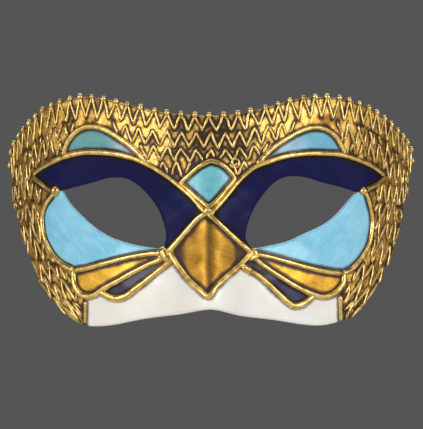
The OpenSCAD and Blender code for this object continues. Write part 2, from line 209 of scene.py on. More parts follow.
class Coating(Tree):
    """The shader tree of one finish."""

    def __init__(self, name: str) -> None:
        """Makes an empty material.

        Args:
            name: the material's name.
        """
        self.material = bpy.data.materials.new(name)
        self.material.use_nodes = True
        self.material.node_tree.nodes.clear()
        super().__init__(self.material.node_tree)
        self.place = self.node("ShaderNodeTexCoord").outputs["Object"]

    def attribute(self, name: str) -> Value:
        """A number kept on the piece's points."""
        return self.value(self.node("ShaderNodeAttribute", {"attribute_name": name}), "Fac")

    def across(self, axis: str) -> Value:
        """The X, Y or Z coordinate in millimetres."""
        return self.value(self.node("ShaderNodeSeparateXYZ", sockets={0: self.place}), axis) * (1.0 / MM)

    def noise(self, size: float | tuple[float, float, float], detail: float = 3.0, roughness: float = 0.55,
              turn: float = 0.0, distortion: float = 0.0) -> Value:
        """Cloudy noise between 0 and 1.

        Args:
            size: the size of a cloud in millimetres, or one size for each axis.
            detail: how many finer layers there are.
            roughness: how strong the finer layers are.
            turn: a turn about Y, in degrees, for streaks that lie at an angle.
            distortion: how far the noise is stirred.

        Returns:
            The noise.
        """
        sizes = size if isinstance(size, tuple) else (size, size, size)
        mapping = self.node("ShaderNodeMapping", {"vector_type": "TEXTURE"}, {
            "Vector": self.place, "Rotation": (0.0, math.radians(turn), 0.0),
            "Scale": tuple(s * MM for s in sizes)})
        return self.value(self.node("ShaderNodeTexNoise", sockets={
            "Vector": mapping.outputs[0], "Scale": 1.0, "Detail": detail, "Roughness": roughness,
            "Distortion": distortion}), "Fac")

    def cells(self, size: float, feature: str = "F1") -> Value:
        """Distance to the nearest of scattered points, about 0 to 1.

        Args:
            size: the distance between the points, in millimetres.
            feature: the Voronoi node's feature.

        Returns:
            The distance.
        """
        return self.value(self.node("ShaderNodeTexVoronoi", {"feature": feature}, {
            "Vector": self.place, "Scale": 1.0 / (size * MM)}), "Distance")

    def mix(self, factor: Value | float, first: object, second: object) -> bpy.types.NodeSocket:
        """Mixes two colours.

        Args:
            factor: 0 for the first, 1 for the second.
            first: a colour or a link.
            second: a colour or a link.

        Returns:
            The mixed colour.
        """
        node = self.node("ShaderNodeMix", {"data_type": "RGBA", "blend_type": "MIX", "clamp_factor": True},
                         {0: factor, 6: first, 7: second})
        return node.outputs[2]

    def bump(self, height: Value, depth: float) -> bpy.types.NodeSocket:
        """A bumped normal.

        Args:
            height: the height map, 0 to 1.
            depth: how high 1 stands, in millimetres.

        Returns:
            The normal.
        """
        return self.node("ShaderNodeBump", None, {
            "Strength": 1.0, "Distance": depth * MM, "Height": height}).outputs[0]

    def finish(self, **inputs: object) -> bpy.types.Material:
        """Ends the tree in a principled shader.

        Args:
            inputs: the shader's inputs, with underscores for spaces.

        Returns:
            The material.
        """
        sockets = {key.replace("_", " "): value for key, value in inputs.items()}
        shader = self.node("ShaderNodeBsdfPrincipled", None, sockets)
        self.node("ShaderNodeOutputMaterial", None, {"Surface": shader.outputs[0]})
        return self.material


# ---- Finishes ----

@dataclass(frozen=True)
class GoldLeaf:
    """Burnished gold leaf on a raised thread, with a brown wash and painted shade along its foot."""

    name: str
    bright: Colour = (1.0, 0.72, 0.27)
    deep: Colour = (0.60, 0.37, 0.09)
    patina_and_shade: Colour = (0.050, 0.020, 0.007)
    foot: float = 0.16
    shoulder: float = 0.46
    sheen: float = 0.27

    def build(self) -> bpy.types.Material:
        """Builds the material."""
        coat = Coating(self.name)
        crest = coat.attribute("crest")
        clouds = coat.noise(2.6, 4.0)
        grain = coat.noise(0.5, 3.0)
        # A brown wash with painted shade: the low flanks of a bead take the dark colour and the crest takes
        # the leaf.
        wear_and_shade = (crest + (clouds - 0.5) * 0.5 + (grain - 0.5) * 0.25).step(self.foot, self.shoulder)
        leaf = coat.mix(clouds.step(0.35, 0.65), self.deep, self.bright)
        base = coat.mix(wear_and_shade, self.patina_and_shade, leaf)
        return coat.finish(
            Base_Color=base, Metallic=wear_and_shade * 0.92 + 0.08,
            Roughness=0.55 - wear_and_shade * (0.55 - self.sheen) + grain * 0.08,
            Normal=coat.bump(grain * 0.4 + coat.noise(1.4, 3.0) * 0.6, 0.07))


@dataclass(frozen=True)
class GiltGround:
    """Gold leaf laid thinly on the gesso ground, with a brown wash and painted shade where it meets a thread
    or a line, painted shade across the middle and slightly more leaf toward the temples.
    """

    name: str = "gilt_ground"
    leaf: Colour = (0.90, 0.55, 0.13)
    amber: Colour = (0.34, 0.145, 0.022)
    middle: tuple[float, float] = (24.0, 8.0)
    patina_and_shade: Colour = (0.020, 0.008, 0.003)
    temple: tuple[float, float] = (52.0, 74.0)

    def build(self) -> bpy.types.Material:
        """Builds the material."""
        coat = Coating(self.name)
        thread = coat.attribute("thread")
        patches = coat.noise(7.0, 2.0)
        grain = coat.noise(0.7, 4.0)
        off_middle = coat.across("X").magnitude()
        # Painted shade: across the middle the leaf gives way to the dark colour, in place of the dark
        # reflection the leaf shows there; toward the temples the balance shifts slightly back to the leaf.
        wear_and_shade = off_middle.step(*self.middle) * -0.45 - off_middle.step(*self.temple) * -0.05
        lit = (thread + (grain - 0.5) * 1.1 + (patches - 0.5) * 3.0 + wear_and_shade).step(0.85, 1.7)
        tone = coat.mix(patches.step(0.38, 0.62), self.amber, self.leaf)
        return coat.finish(
            Base_Color=coat.mix(lit, self.patina_and_shade, tone), Metallic=lit * 0.75 + 0.15,
            Roughness=0.44 - lit * 0.16 + grain * 0.12,
            Normal=coat.bump(grain * 0.4 + coat.noise(2.0, 2.0) * 0.6, 0.34))


class Streaks(Enum):
    """Which way the brush went over a cell, as sizes of a streak in millimetres."""

    ACROSS = (16.0, 4.0, 1.1)
    UPRIGHT = (1.2, 4.0, 14.0)
    MOTTLED = (3.2, 3.2, 2.6)


@dataclass(frozen=True)
class Enamel:
    """Brushed enamel paint in a cell, glossy, with painted shade and a dark brown wash where it meets the
    lines.
    """

    name: str
    light: Colour
    dark: Colour
    streaks: Streaks = Streaks.ACROSS
    turn: float = 0.0
    gloss: float = 0.22
    pale: Colour | None = None
    pale_from: float = 0.0
    pale_to: float = 0.0
    patina_and_shade: Colour = (0.014, 0.008, 0.006)
    shade_reach: float = 2.7
    shade_full: float = 1.75
    relief: float = 0.035
    coat_weight: float = 0.25
    coat_roughness: float = 0.16
    specular: float = 0.35

    def build(self) -> bpy.types.Material:
        """Builds the material."""
        coat = Coating(self.name)
        seam = coat.attribute("seam")
        brushed = coat.noise(self.streaks.value, 4.0, 0.6, self.turn, 0.3)
        fine = coat.noise(0.6, 3.0)
        clouds = coat.noise(9.0, 2.0)
        base = coat.mix((brushed * 0.7 + clouds * 0.45 - 0.08).step(0.3, 0.68), self.dark, self.light)
        if self.pale is not None:
            reach = coat.across("X").magnitude() + (brushed - 0.5) * 16.0
            base = coat.mix(reach.step(self.pale_from, self.pale_to), base, self.pale)
        # Painted shade with a brown wash: the paint darkens toward the raised lines round the cell.
        darkening = (seam + (fine - 0.5) * 0.6 + (clouds - 0.5) * 0.8).step(self.shade_reach, self.shade_full)
        return coat.finish(
            Base_Color=coat.mix(darkening, base, self.patina_and_shade),
            Roughness=brushed * 0.14 + darkening * 0.2 + (self.gloss - 0.07),
            Normal=coat.bump(brushed * 0.75 + fine * 0.25, self.relief), Specular_IOR_Level=self.specular,
            Coat_Weight=self.coat_weight, Coat_Roughness=self.coat_roughness)


@dataclass(frozen=True)
class AmberGold:
    """Metallic gold paint with brush rings and a fine crackle, painted shade and a brown wash along the
    lines, painted shade in its side corners and a painted dark reflection along a ridge.
    """

    name: str = "amber_gold_petal"
    middle: float = 0.0
    # Where the painted shade in the side corners starts and is full, in millimetres from the middle, and the
    # strength and half width of the painted dark reflection along the ridge.
    corner_from: float = 200.0
    corner_to: float = 210.0
    ridge: float = 0.0
    ridge_width: float = 2.0
    light: Colour = (0.93, 0.51, 0.055)
    dark: Colour = (0.52, 0.25, 0.018)
    patina_and_shade: Colour = (0.030, 0.010, 0.003)

    def build(self) -> bpy.types.Material:
        """Builds the material."""
        coat = Coating(self.name)
        seam = coat.attribute("seam")
        brushed = coat.noise((7.0, 4.0, 0.9), 4.0, 0.6, 25.0, 0.8)
        grain = coat.noise(0.45, 3.0)
        clouds = coat.noise(6.0, 2.0)
        base = coat.mix((brushed * 0.5 + clouds * 0.6 - 0.05).step(0.32, 0.66), self.dark, self.light)
        crackle = coat.cells(1.5, "DISTANCE_TO_EDGE").step(0.05, 0.0)
        base = coat.mix(crackle * 0.35, base, self.patina_and_shade)
        # Painted shade with a brown wash toward the lines, then painted shade in the side corners and a
        # painted dark reflection along the ridge.
        darkening = (seam + (grain - 0.5) * 0.8 + (clouds - 0.5) * 1.4).step(3.1, 1.9)
        off_ridge = (coat.across("X") - self.middle).magnitude()
        corner = (off_ridge + (clouds - 0.5) * 3.0).step(self.corner_from, self.corner_to)
        darkening = (darkening + corner * 0.9 + off_ridge.step(self.ridge_width, 0.3) * self.ridge).clamped()
        return coat.finish(
            Base_Color=coat.mix(darkening, base, self.patina_and_shade), Metallic=0.72 - darkening * 0.5,
            Roughness=0.30 + brushed * 0.16 + darkening * 0.1,
            Normal=coat.bump(brushed * 0.6 + grain * 0.3 - crackle * 0.2, 0.06))


@dataclass(frozen=True)
class IvoryPaint:
    """Off-white satin paint with faint mottling, and brown smears with painted shade beside the lines."""

    name: str = "ivory_paint"
    white: Colour = (0.95, 0.92, 0.86)
    cream: Colour = (0.93, 0.87, 0.76)
    rose: Colour = (0.90, 0.83, 0.80)
    moss: Colour = (0.76, 0.75, 0.64)
    smear: Colour = (0.13, 0.065, 0.020)

    def build(self) -> bpy.types.Material:
        """Builds the material."""
        coat = Coating(self.name)
        seam = coat.attribute("seam")
        broad = coat.noise(14.0, 2.0)
        fine = coat.noise(1.0, 4.0)
        tinted = coat.mix(broad.step(0.42, 0.7), self.white, self.cream)
        tinted = coat.mix(coat.noise(9.0, 2.0).step(0.55, 0.8) * 0.5, tinted, self.rose)
        tinted = coat.mix((coat.noise(3.0, 4.0) * fine).step(0.30, 0.48) * 0.35, tinted, self.moss)
        # Brown smears with painted shade: the paint darkens toward the raised lines.
        darkening = (seam + (fine - 0.5) * 1.2 + (broad - 0.5) * 1.6).step(2.5, 1.3)
        return coat.finish(
            Base_Color=coat.mix(darkening, tinted, self.smear), Roughness=0.34 + fine * 0.14,
            Normal=coat.bump(fine * 0.4 + coat.noise((8.0, 3.0, 1.4), 3.0) * 0.6, 0.06),
            Coat_Weight=0.25, Coat_Roughness=0.2)


@dataclass(frozen=True)
class PapierMache:
    """Layered paper strips in glue, sanded along the rim."""

    name: str = "papier_mache"
    paper: Colour = (0.46, 0.35, 0.22)
    glue: Colour = (0.25, 0.17, 0.10)

    def build(self) -> bpy.types.Material:
        """Builds the material."""
        coat = Coating(self.name)
        strips = coat.cells(11.0)
        torn = coat.cells(11.0, "DISTANCE_TO_EDGE").step(0.06, 0.0)
        fibre = coat.noise((3.0, 3.0, 0.4), 4.0, 0.6, 35.0)
        base = coat.mix((strips * 0.6 + fibre * 0.6).step(0.3, 0.8), self.glue, self.paper)
        return coat.finish(
            Base_Color=coat.mix(torn * 0.5, base, self.glue), Roughness=0.78 + fibre * 0.12,
            Normal=coat.bump(torn * 0.5 + fibre * 0.5, 0.14))


@dataclass(frozen=True)
class CottonWeave:
    """Plain woven cotton, dyed black, with painted shade in the sunk parts of the weave."""

    name: str = "cotton_lining"
    raised: Colour = (0.050, 0.047, 0.055)
    sunk: Colour = (0.012, 0.011, 0.014)
    thread: float = 0.75

    def build(self) -> bpy.types.Material:
        """Builds the material."""
        coat = Coating(self.name)
        warp = self._wave(coat, "weave_u")
        weft = self._wave(coat, "weave_v")
        woven = warp * weft
        slub = coat.noise((6.0, 6.0, 0.8), 3.0)
        # Painted shade: the sunk parts of the weave take the darker colour.
        return coat.finish(
            Base_Color=coat.mix((woven * 0.8 + slub * 0.3).clamped(), self.sunk, self.raised),
            Roughness=0.86 + slub * 0.1, Normal=coat.bump(woven * 0.8 + slub * 0.2, 0.12),
            Sheen_Weight=0.35, Sheen_Roughness=0.5)

    def _wave(self, coat: Coating, name: str) -> Value:
        """A rounded ridge for every thread along one way of the cloth.

        Args:
            coat: the tree.
            name: the attribute that holds the way's coordinate, in millimetres.

        Returns:
            The ridge, 0 to 1.
        """
        turns = coat.attribute(name) * (2.0 * math.pi / self.thread)
        return turns.sine() * 0.5 + 0.5


@dataclass(frozen=True)
class PolishedBrass:
    """Brass of a tubular eyelet, lightly scratched and tarnished in its roll."""

    name: str = "eyelet_brass"
    clean: Colour = (0.86, 0.64, 0.30)
    tarnish: Colour = (0.34, 0.21, 0.08)

    def build(self) -> bpy.types.Material:
        """Builds the material."""
        coat = Coating(self.name)
        spots = coat.noise(1.2, 4.0)
        scratches = coat.noise((0.15, 2.0, 2.0), 3.0)
        base = coat.mix(spots.step(0.5, 0.75), self.clean, self.tarnish)
        return coat.finish(Base_Color=base, Metallic=1.0, Roughness=0.2 + spots * 0.25,
                           Normal=coat.bump(scratches, 0.02))


@dataclass(frozen=True)
class StudioPaper:
    """Pale seamless paper under the mask."""

    name: str = "studio_paper"
    pale: Colour = (0.80, 0.80, 0.79)
    shade: Colour = (0.76, 0.76, 0.755)

    def build(self) -> bpy.types.Material:
        """Builds the material."""
        coat = Coating(self.name)
        fibre = coat.noise(6.0, 3.0)
        return coat.finish(Base_Color=coat.mix(fibre, self.pale, self.shade), Roughness=0.9)


# ---- Plane shapes ----

def spline(points: Sequence[Sequence[float]], steps: int) -> Points:
    """A smooth curve through points.

    Args:
        points: the points that it passes through.
        steps: steps between two of them.

    Returns:
        The curve's points.
    """
    p = np.asarray(points, float)
    p = np.vstack([p[:1], p, p[-1:]])
    t = np.arange(steps)[:, None] / steps
    spans = []
    for a, b, c, d in zip(p, p[1:], p[2:], p[3:]):
        spans.append(b + 0.5 * t * ((c - a) + t * ((2 * a - 5 * b + 4 * c - d) + t * (3 * (b - c) + d - a))))
    return np.vstack([*spans, p[-1:]])


def run_along(path: Points) -> Points:
    """How far along a path each of its points lies."""
    return np.concatenate([[0.0], np.cumsum(np.linalg.norm(np.diff(path, axis=0), axis=1))])


def sampled(path: Points, known: Points, wanted: Points) -> Points:
    """Points of a path between its own.

    Args:
        path: the path.
        known: a rising number for each of its points.
        wanted: the same number at the new points.

    Returns:
        The new points.
    """
    return np.column_stack([np.interp(wanted, known, path[:, k]) for k in range(path.shape[1])])


def evenly(path: Points, step: float) -> Points:
    """A path's points at even distances.

    Args:
        path: the path.
        step: about how far apart they are.

    Returns:
        The new points, with both ends kept.
    """
    run = run_along(path)
    count = max(2, int(round(run[-1] / step)) + 1)
    return sampled(path, run, np.linspace(0.0, run[-1], count))


def rounded_ends(run: Points, radius: Points | float, least: float) -> Points:
    """The share of its thickness that a bead has at its points, so that both its ends are round.

    Args:
        run: how far along the bead each of its points lies.
        radius: the bead's radius.
        least: the square of the share that is left at the very ends.

    Returns:
        One share for each point.
    """
    gap = np.clip(np.minimum(run, run[-1] - run) / radius, 0, 1)
    return np.sqrt(np.clip(1 - (1 - gap) ** 2, least, 1))


def sideways(loop: Points) -> Points:
    """Unit vectors across a closed loop, one for each of its points."""
    way = np.roll(loop, -1, axis=0) - np.roll(loop, 1, axis=0)
    return np.column_stack([-way[:, 1], way[:, 0]]) / np.maximum(np.linalg.norm(way, axis=1), 1e-9)[:, None]


def inside(points: Points, loop: Points) -> np.ndarray:
    """Which points lie inside a closed loop.

    Args:
        points: the points to test.
        loop: the loop's corners.

    Returns:
        One truth value for each point.
    """
    a, b = loop, np.roll(loop, -1, axis=0)
    x, z = points[:, :1], points[:, 1:2]
    crosses = (a[:, 1] > z) != (b[:, 1] > z)
    rise = np.where(b[:, 1] == a[:, 1], 1e-12, b[:, 1] - a[:, 1])
    return (crosses & (x < a[:, 0] + (z - a[:, 1]) * (b[:, 0] - a[:, 0]) / rise)).sum(axis=1) % 2 == 1


def distance(points: Points, paths: Sequence[Points], closed: bool = True) -> np.ndarray:
    """How far points are from the nearest of some paths.

    Args:
        points: the points.
        paths: the paths.
        closed: whether each path's end joins its start.

    Returns:
        One distance for each point.
    """
    best = np.full(len(points), 1e9)
    for path in paths:
        a = path if closed else path[:-1]
        b = np.roll(path, -1, axis=0) if closed else path[1:]
        way = b - a
        size = np.maximum((way ** 2).sum(axis=1), 1e-12)
        for start in range(0, len(points), CHUNK):
            p = points[start:start + CHUNK, None, :]
            t = np.clip(((p - a) * way).sum(axis=2) / size, 0.0, 1.0)
            gap = np.linalg.norm(p - a - t[..., None] * way, axis=2).min(axis=1)
            best[start:start + CHUNK] = np.minimum(best[start:start + CHUNK], gap)
    return best


# ---- The face and the pattern on it ----

@dataclass(frozen=True)
class Swell:
    """A soft hollow or swelling of the face, the same on both sides of the nose."""

    depth: float
    aside: float
    height: float
    half_width: float
    half_height: float

    def at(self, x: Points, z: Points) -> Points:
        """How deep it is over points of the front view."""
        across = (np.abs(x) - self.aside) / self.half_width
        return self.depth * np.exp(-across ** 2 - ((z - self.height) / self.half_height) ** 2)


@dataclass
class Face:
    """The mask's front face, as the depth over each point of the front view."""

    wrap_depth: float = 90.0
    wrap_reach: float = 93.0
    table_reach: float = 91.5
    table_size: int = 3661
    measured_reach: float = 91.2
    lean_above: float = 4.5
    lean_below: float = 2.0
    nose_rise: float = 17.0
    socket: Swell = Swell(5.0, 42.0, -3.0, 25.0, 17.0)
    cheek: Swell = Swell(2.5, 48.0, -38.0, 22.0, 16.0)
    shell_t: float = 2.6
    lining_t: float = 0.7
    ground_t: float = 0.5
    gap: float = 0.05

    def __post_init__(self) -> None:
        """Prepares the table that unrolls the temples."""
        self.seat = self.shell_t + self.gap + self.lining_t
        self._x = np.linspace(-self.table_reach, self.table_reach, self.table_size)
        slope = np.gradient(self._wrap(self._x), self._x)
        pace = np.sqrt(1.0 + slope ** 2)
        run = np.concatenate([[0.0], np.cumsum((pace[1:] + pace[:-1]) / 2 * np.diff(self._x))])
        self._s = run - np.interp(0.0, self._x, run)

    def _wrap(self, x: Points) -> Points:
        """How far back the face has swept at x."""
        share = np.clip(np.abs(x), 0, self.wrap_reach - 1) / self.wrap_reach
        return self.wrap_depth * (1 - np.sqrt(1 - share ** 2))

    @staticmethod
    def _smooth(t: Points) -> Points:
        """A smooth rise from 0 to 1."""
        c = np.clip(t, 0, 1)
        return c * c * (3 - 2 * c)

    def _relief(self, x: Points, z: Points) -> Points:
        """Depth before the seat is set.

        Args:
            x: places across, in millimetres.
            z: heights, in millimetres.

        Returns:
            The depths.
        """
        lean = np.where(z > 0, self.lean_above, self.lean_below) * (z / 50) ** 2
        growth = 0.22 + 0.78 * self._smooth((4 - z) / 52)
        nose = self.nose_rise * growth * self._smooth((34 - z) / 40) * np.exp(-(x / (11 - z / 9)) ** 2)
        return self._wrap(x) + lean - nose + self.socket.at(x, z) - self.cheek.at(x, z)

    def depth(self, x: Points, z: Points) -> Points:
        """Y of the front face, in millimetres."""
        zero = np.zeros(1)
        return self._relief(x, z) - self._relief(zero, zero)[0] - self.seat

    def normal(self, x: Points, z: Points) -> Points:
        """The direction in which the face looks.

        Args:
            x: places across.
            z: heights.

        Returns:
            Unit vectors.
        """
        e = 0.2
        sx = (self.depth(x + e, z) - self.depth(x - e, z)) / (2 * e)
        sz = (self.depth(x, z + e) - self.depth(x, z - e)) / (2 * e)
        n = np.column_stack([sx, -np.ones_like(sx), sz])
        return n / np.linalg.norm(n, axis=1)[:, None]

    def unroll(self, front: Points) -> Points:
        """Turns front-view points into points of the unrolled face."""
        return np.column_stack([np.interp(front[:, 0], self._x, self._s), front[:, 1]])

    def roll(self, plan: Points) -> Points:
        """Turns points of the unrolled face into front-view points."""
        return np.column_stack([np.interp(plan[:, 0], self._s, self._x), plan[:, 1]])

    def place(self, plan: Points, lift: Points | float) -> Points:
        """Lays points of the unrolled face on the face.

        Args:
            plan: points of the unrolled face.
            lift: how far they stand above it.

        Returns:
            Places in metres.
        """
        front = self.roll(plan)
        x, z = front[:, 0], front[:, 1]
        at = np.column_stack([x, self.depth(x, z), z])
        return (at + np.reshape(lift, (-1, 1)) * self.normal(x, z)) * MM

    def lift_of(self, places: Points) -> Points:
        """How far places in metres stand above the face, in millimetres."""
        p = places / MM
        x = np.clip(p[:, 0], -self.measured_reach, self.measured_reach)
        return (p[:, 1] - self.depth(x, p[:, 2])) * self.normal(x, p[:, 2])[:, 1]


@dataclass
class Pattern:
    """Outline, eye openings, raised lines and cells, as [x, z] of the front view."""

    face: Face
    upper_edge: tuple = (
        (-89.6, 18), (-89, 24.5), (-85.6, 31), (-80.2, 37), (-74, 42.6), (-65.5, 46.2), (-55.3, 48),
        (-45.2, 46.4), (-32, 43.2), (-20, 40.6), (-8, 39.6), (0, 39.3), (12, 40.2), (25, 43.2),
        (38, 46.8), (50, 47.8), (60, 46.8), (70.5, 42.8), (77.5, 38), (82.5, 33.5), (86.8, 29),
        (89.4, 24.5), (89.8, 20))
    lower_edge: tuple = (
        (-89.5, 12), (-88.9, 5), (-86.9, -4), (-83.9, -14), (-79.8, -25), (-75, -36.5), (-67.8, -45.3),
        (-57.5, -53), (-45, -53.4), (-30, -50.4), (-15, -48.2), (0, -45.9), (14, -48.8), (28, -50.8),
        (42, -53.1), (52, -53), (63.5, -49), (70, -41), (76, -31), (80.8, -21), (84.5, -9),
        (87.5, 4), (89.4, 14))
    eye_left: tuple = (
        ((-66.4, 6.5), (-60, 8), (-52, 10), (-45, 11.8), (-38, 11.6), (-32, 8.2), (-27, 3),
         (-23.5, -2), (-21, -8.5), (-20, -14), (-21.5, -19.3)),
        ((-21.5, -19.3), (-30, -18.2), (-38, -16.3), (-45, -13.8), (-52, -9.6), (-58, -4.5),
         (-63, 0.7), (-66.4, 6.5)))
    eye_right: tuple = (
        ((64.8, 5.6), (58, 7.8), (50, 9.7), (42, 12), (35, 12.5), (29, 10.3), (23, 4.2),
         (18.5, -3), (16, -10), (15.7, -15), (18.5, -19.3)),
        ((18.5, -19.3), (26, -17.8), (34, -15.8), (42, -12.2), (50, -8.5), (56, -4),
         (61, 1.5), (64.8, 5.6)))
    lines: dict = field(default_factory=lambda: {
        "brow_line_left": (
            (-79, 13.8), (-74, 17.3), (-65.4, 21.2), (-56, 23.3), (-45, 22.9), (-36, 21.1),
            (-28.5, 18.1), (-21, 13.6), (-14.6, 8.8), (-8.4, 3.4), (-4.2, -1.6)),
        "brow_line_right": (
            (77, 13.3), (70, 18), (58.5, 22), (50, 22.8), (42, 22.7), (32, 21.2),
            (20.5, 17.2), (16, 14.2), (12.4, 10.8), (7, 4.2), (1.6, -2)),
        "lid_line_left": (
            (-65, 23.2), (-64.3, 25.5), (-62.5, 29.2), (-58.5, 33.2), (-53, 34.9), (-47, 33.3),
            (-40, 29.2), (-34, 24.8), (-29.4, 20.4)),
        "lid_line_right": (
            (58.5, 24), (57, 27), (54.8, 30.4), (51, 33.2), (46, 34.3), (40, 32.8),
            (33, 29), (27, 24.9), (21.6, 19.6)),
        "temple_line_left": ((-78.4, 12), (-75.5, 9.6), (-73, 7.7), (-70.8, 6.7)),
        "temple_line_right": ((76.5, 11.5), (74.3, 9.7), (71.8, 8.2), (69.2, 7.1)),
        "cheek_line_left": (
            (-70.4, 4.2), (-73, 0.8), (-74.7, -4), (-74.9, -8.5), (-74, -14), (-71.8, -19),
            (-69.2, -23), (-65.5, -26.4), (-61.8, -28.3)),
        "cheek_line_right": (
            (69, 4.2), (70.2, 0.5), (71.3, -5), (71.4, -10), (70.3, -16.5), (68, -21.3),
            (65.2, -25.3), (61.8, -28.6), (59.4, -29.8)),
        "petal_top_line_left": (
            (-22.6, -21.2), (-30, -22), (-38, -23.5), (-46, -25.6), (-54, -27.8), (-60, -29)),
        "petal_top_line_right": (
            (20.8, -21.8), (28, -23.5), (36, -25.8), (44, -28), (51, -29.5), (57.4, -30.2)),
        "gold_petal_line_left": (
            (-60.7, -30.6), (-60.4, -34.5), (-58.5, -38.3), (-55.5, -40.3), (-51.5, -39.8),
            (-47, -36.8), (-40, -32.9), (-33, -29), (-27, -26), (-22.4, -24.2)),
        "gold_petal_line_right": (
            (58.6, -31.6), (58.2, -34.5), (56, -37.6), (52.5, -39.8), (48.5, -40.3),
            (44, -39), (38, -36.2), (31, -32), (24, -27.3), (19.6, -24)),
        "dark_petal_line_left": (
            (-47.6, -39), (-44, -40.8), (-40.8, -41.2), (-37, -39.9), (-33, -36.8),
            (-28, -33), (-23, -29), (-18.6, -25.6)),
        "dark_petal_line_right": (
            (43.6, -41.2), (40.2, -43.7), (36.5, -44.4), (33.5, -42.6), (29.5, -38.9),
            (25.5, -35.2), (21, -31.4), (16.6, -28.8)),
        "ivory_line_left": ((-55.3, -42.4), (-55.4, -47), (-55.6, -52.4)),
        "ivory_line_right": ((56.9, -40), (57, -46), (57.2, -51.2)),
    })
    forehead_left: tuple = ((-13.2, 9.8), (-9.5, 13.2), (-5, 17), (0, 19.4))
    forehead_right: tuple = ((0, 19.4), (4.5, 17.9), (8, 15), (10.4, 11.6))
    forehead_lower: tuple = (
        (10.4, 11.6), (7, 7.4), (3.6, 3.3), (-0.8, -0.6), (-5, 2.2), (-9, 5.9), (-13.2, 9.8))
    nose_upper_left: tuple = ((-18.2, -20.6), (-13.5, -15), (-9, -9.8), (-5.2, -5.6), (-1.6, -3.6))
    nose_upper_right: tuple = ((-1.6, -3.6), (3, -7.8), (8, -12.6), (13, -17.2), (17.6, -21))
    nose_lower: tuple = (
        (17.6, -21), (14, -25), (10, -28.6), (6, -32), (2, -36), (-1.2, -40),
        (-5, -37), (-8.5, -34), (-12, -29.8), (-15.5, -25), (-18.2, -20.6))
    below: float = -70.0
    steps: int = 8

    def curve(self, points: Sequence[Sequence[float]]) -> Points:
        """A smooth curve of the front view, unrolled."""
        return self.face.unroll(spline(points, self.steps))

    def line(self, name: str) -> Points:
        """One raised line, unrolled."""
        return self.curve(self.lines[name])

    def stretch(self, points: Sequence[Sequence[float]], start: int, end: int) -> Points:
        """The part of a curve between two of its points."""
        return self.curve(points)[start * self.steps:end * self.steps + 1]

    def dots(self, *points: tuple[float, float]) -> Points:
        """Single points of the front view, unrolled."""
        return self.face.unroll(np.asarray(points, float))

    def outline(self) -> Points:
        """The mask's outline."""
        return np.vstack([self.curve(self.upper_edge), self.curve(self.lower_edge)[::-1]])

    def eyes(self) -> list[Points]:
        """The two eye openings."""
        return [np.vstack([self.curve(upper)[:-1], self.curve(lower)[:-1]])
                for upper, lower in (self.eye_left, self.eye_right)]

    def ring(self, *curves: Sequence[Sequence[float]]) -> Points:
        """A closed line made of curves that follow one another."""
        return np.vstack([self.curve(points)[:-1] for points in curves])

    def forehead_rim(self) -> Points:
        """The closed line round the forehead cell."""
        return self.ring(self.forehead_left, self.forehead_right, self.forehead_lower)

    def nose_rim(self) -> Points:
        """The closed line round the nose cell."""
        return self.ring(self.nose_upper_left, self.nose_upper_right, self.nose_lower)

    def shared(self) -> list[tuple]:
        """The brow lines and the gold petals' lines, of which several cells take a part."""
        return [self.lines[name] for name in ("brow_line_left", "brow_line_right",
                                              "gold_petal_line_left", "gold_petal_line_right")]

    def cells(self) -> dict[str, Points]:
        """Every cell's outline, along the middles of the lines round it."""
        line, curve, dots, stretch = self.line, self.curve, self.dots, self.stretch
        brow_l, brow_r, gold_l, gold_r = self.shared()
        parts = {
            "lid_panel_left": [line("lid_line_left"), stretch(brow_l, 2, 6)[::-1]],
            "lid_panel_right": [line("lid_line_right"), stretch(brow_r, 2, 6)[::-1]],
            "brow_panel_left": [
                line("brow_line_left"), curve(self.nose_upper_left)[::-1],
                dots((-21, -18.6), (-66, 6.5)), line("temple_line_left")[::-1]],
            "brow_panel_right": [
                line("brow_line_right"), curve(self.nose_upper_right),
                dots((18.2, -18.6), (64.5, 5.8)), line("temple_line_right")[::-1]],
            "cheek_panel_left": [
                line("cheek_line_left"), line("petal_top_line_left")[::-1], dots((-22, -18), (-67, 6.4))],
            "cheek_panel_right": [
                line("cheek_line_right"), line("petal_top_line_right")[::-1], dots((19, -18), (65.4, 5.6))],
            "gold_petal_left": [line("gold_petal_line_left"), line("petal_top_line_left")],
            "gold_petal_right": [line("gold_petal_line_right"), line("petal_top_line_right")],
            "dark_petal_left": [
                line("dark_petal_line_left"), dots((-16.2, -24.6), (-18.6, -21.8)),
                stretch(gold_l, 5, 9)[::-1]],
            "dark_petal_right": [
                line("dark_petal_line_right"), dots((14.2, -25.6), (17.0, -22.2)),
                stretch(gold_r, 5, 9)[::-1]],
            "forehead_panel": [self.forehead_rim()],
            "nose_panel": [self.nose_rim()],
            "ivory_panel": [
                dots((-55.4, self.below), (-55.3, -41)), stretch(gold_l, 3, 5),
                line("dark_petal_line_left"), stretch(self.nose_lower, 1, 9)[::-1],
                line("dark_petal_line_right")[::-1], stretch(gold_r, 3, 5)[::-1],
                dots((56.9, -38.4), (57, self.below))],
        }
        return {name: np.vstack(pieces) for name, pieces in parts.items()}

    def all_cells(self) -> Points:
        """The outline of everything that the gilded field goes round."""
        line, curve, dots, stretch = self.line, self.curve, self.dots, self.stretch
        brow_l, brow_r, gold_l, gold_r = self.shared()
        return np.vstack([
            stretch(brow_l, 0, 2), line("lid_line_left"), stretch(brow_l, 6, 8),
            curve(self.forehead_left), curve(self.forehead_right),
            stretch(brow_r, 6, 8)[::-1], line("lid_line_right")[::-1],
            stretch(brow_r, 0, 2)[::-1], line("temple_line_right"), line("cheek_line_right"),
            stretch(gold_r, 0, 2), dots((57, -39), (57, self.below)),
            dots((-55.4, self.below), (-55.3, -41)), stretch(gold_l, 0, 3)[::-1],
            line("cheek_line_left")[::-1], line("temple_line_left")[::-1]])


# ---- Meshes ----

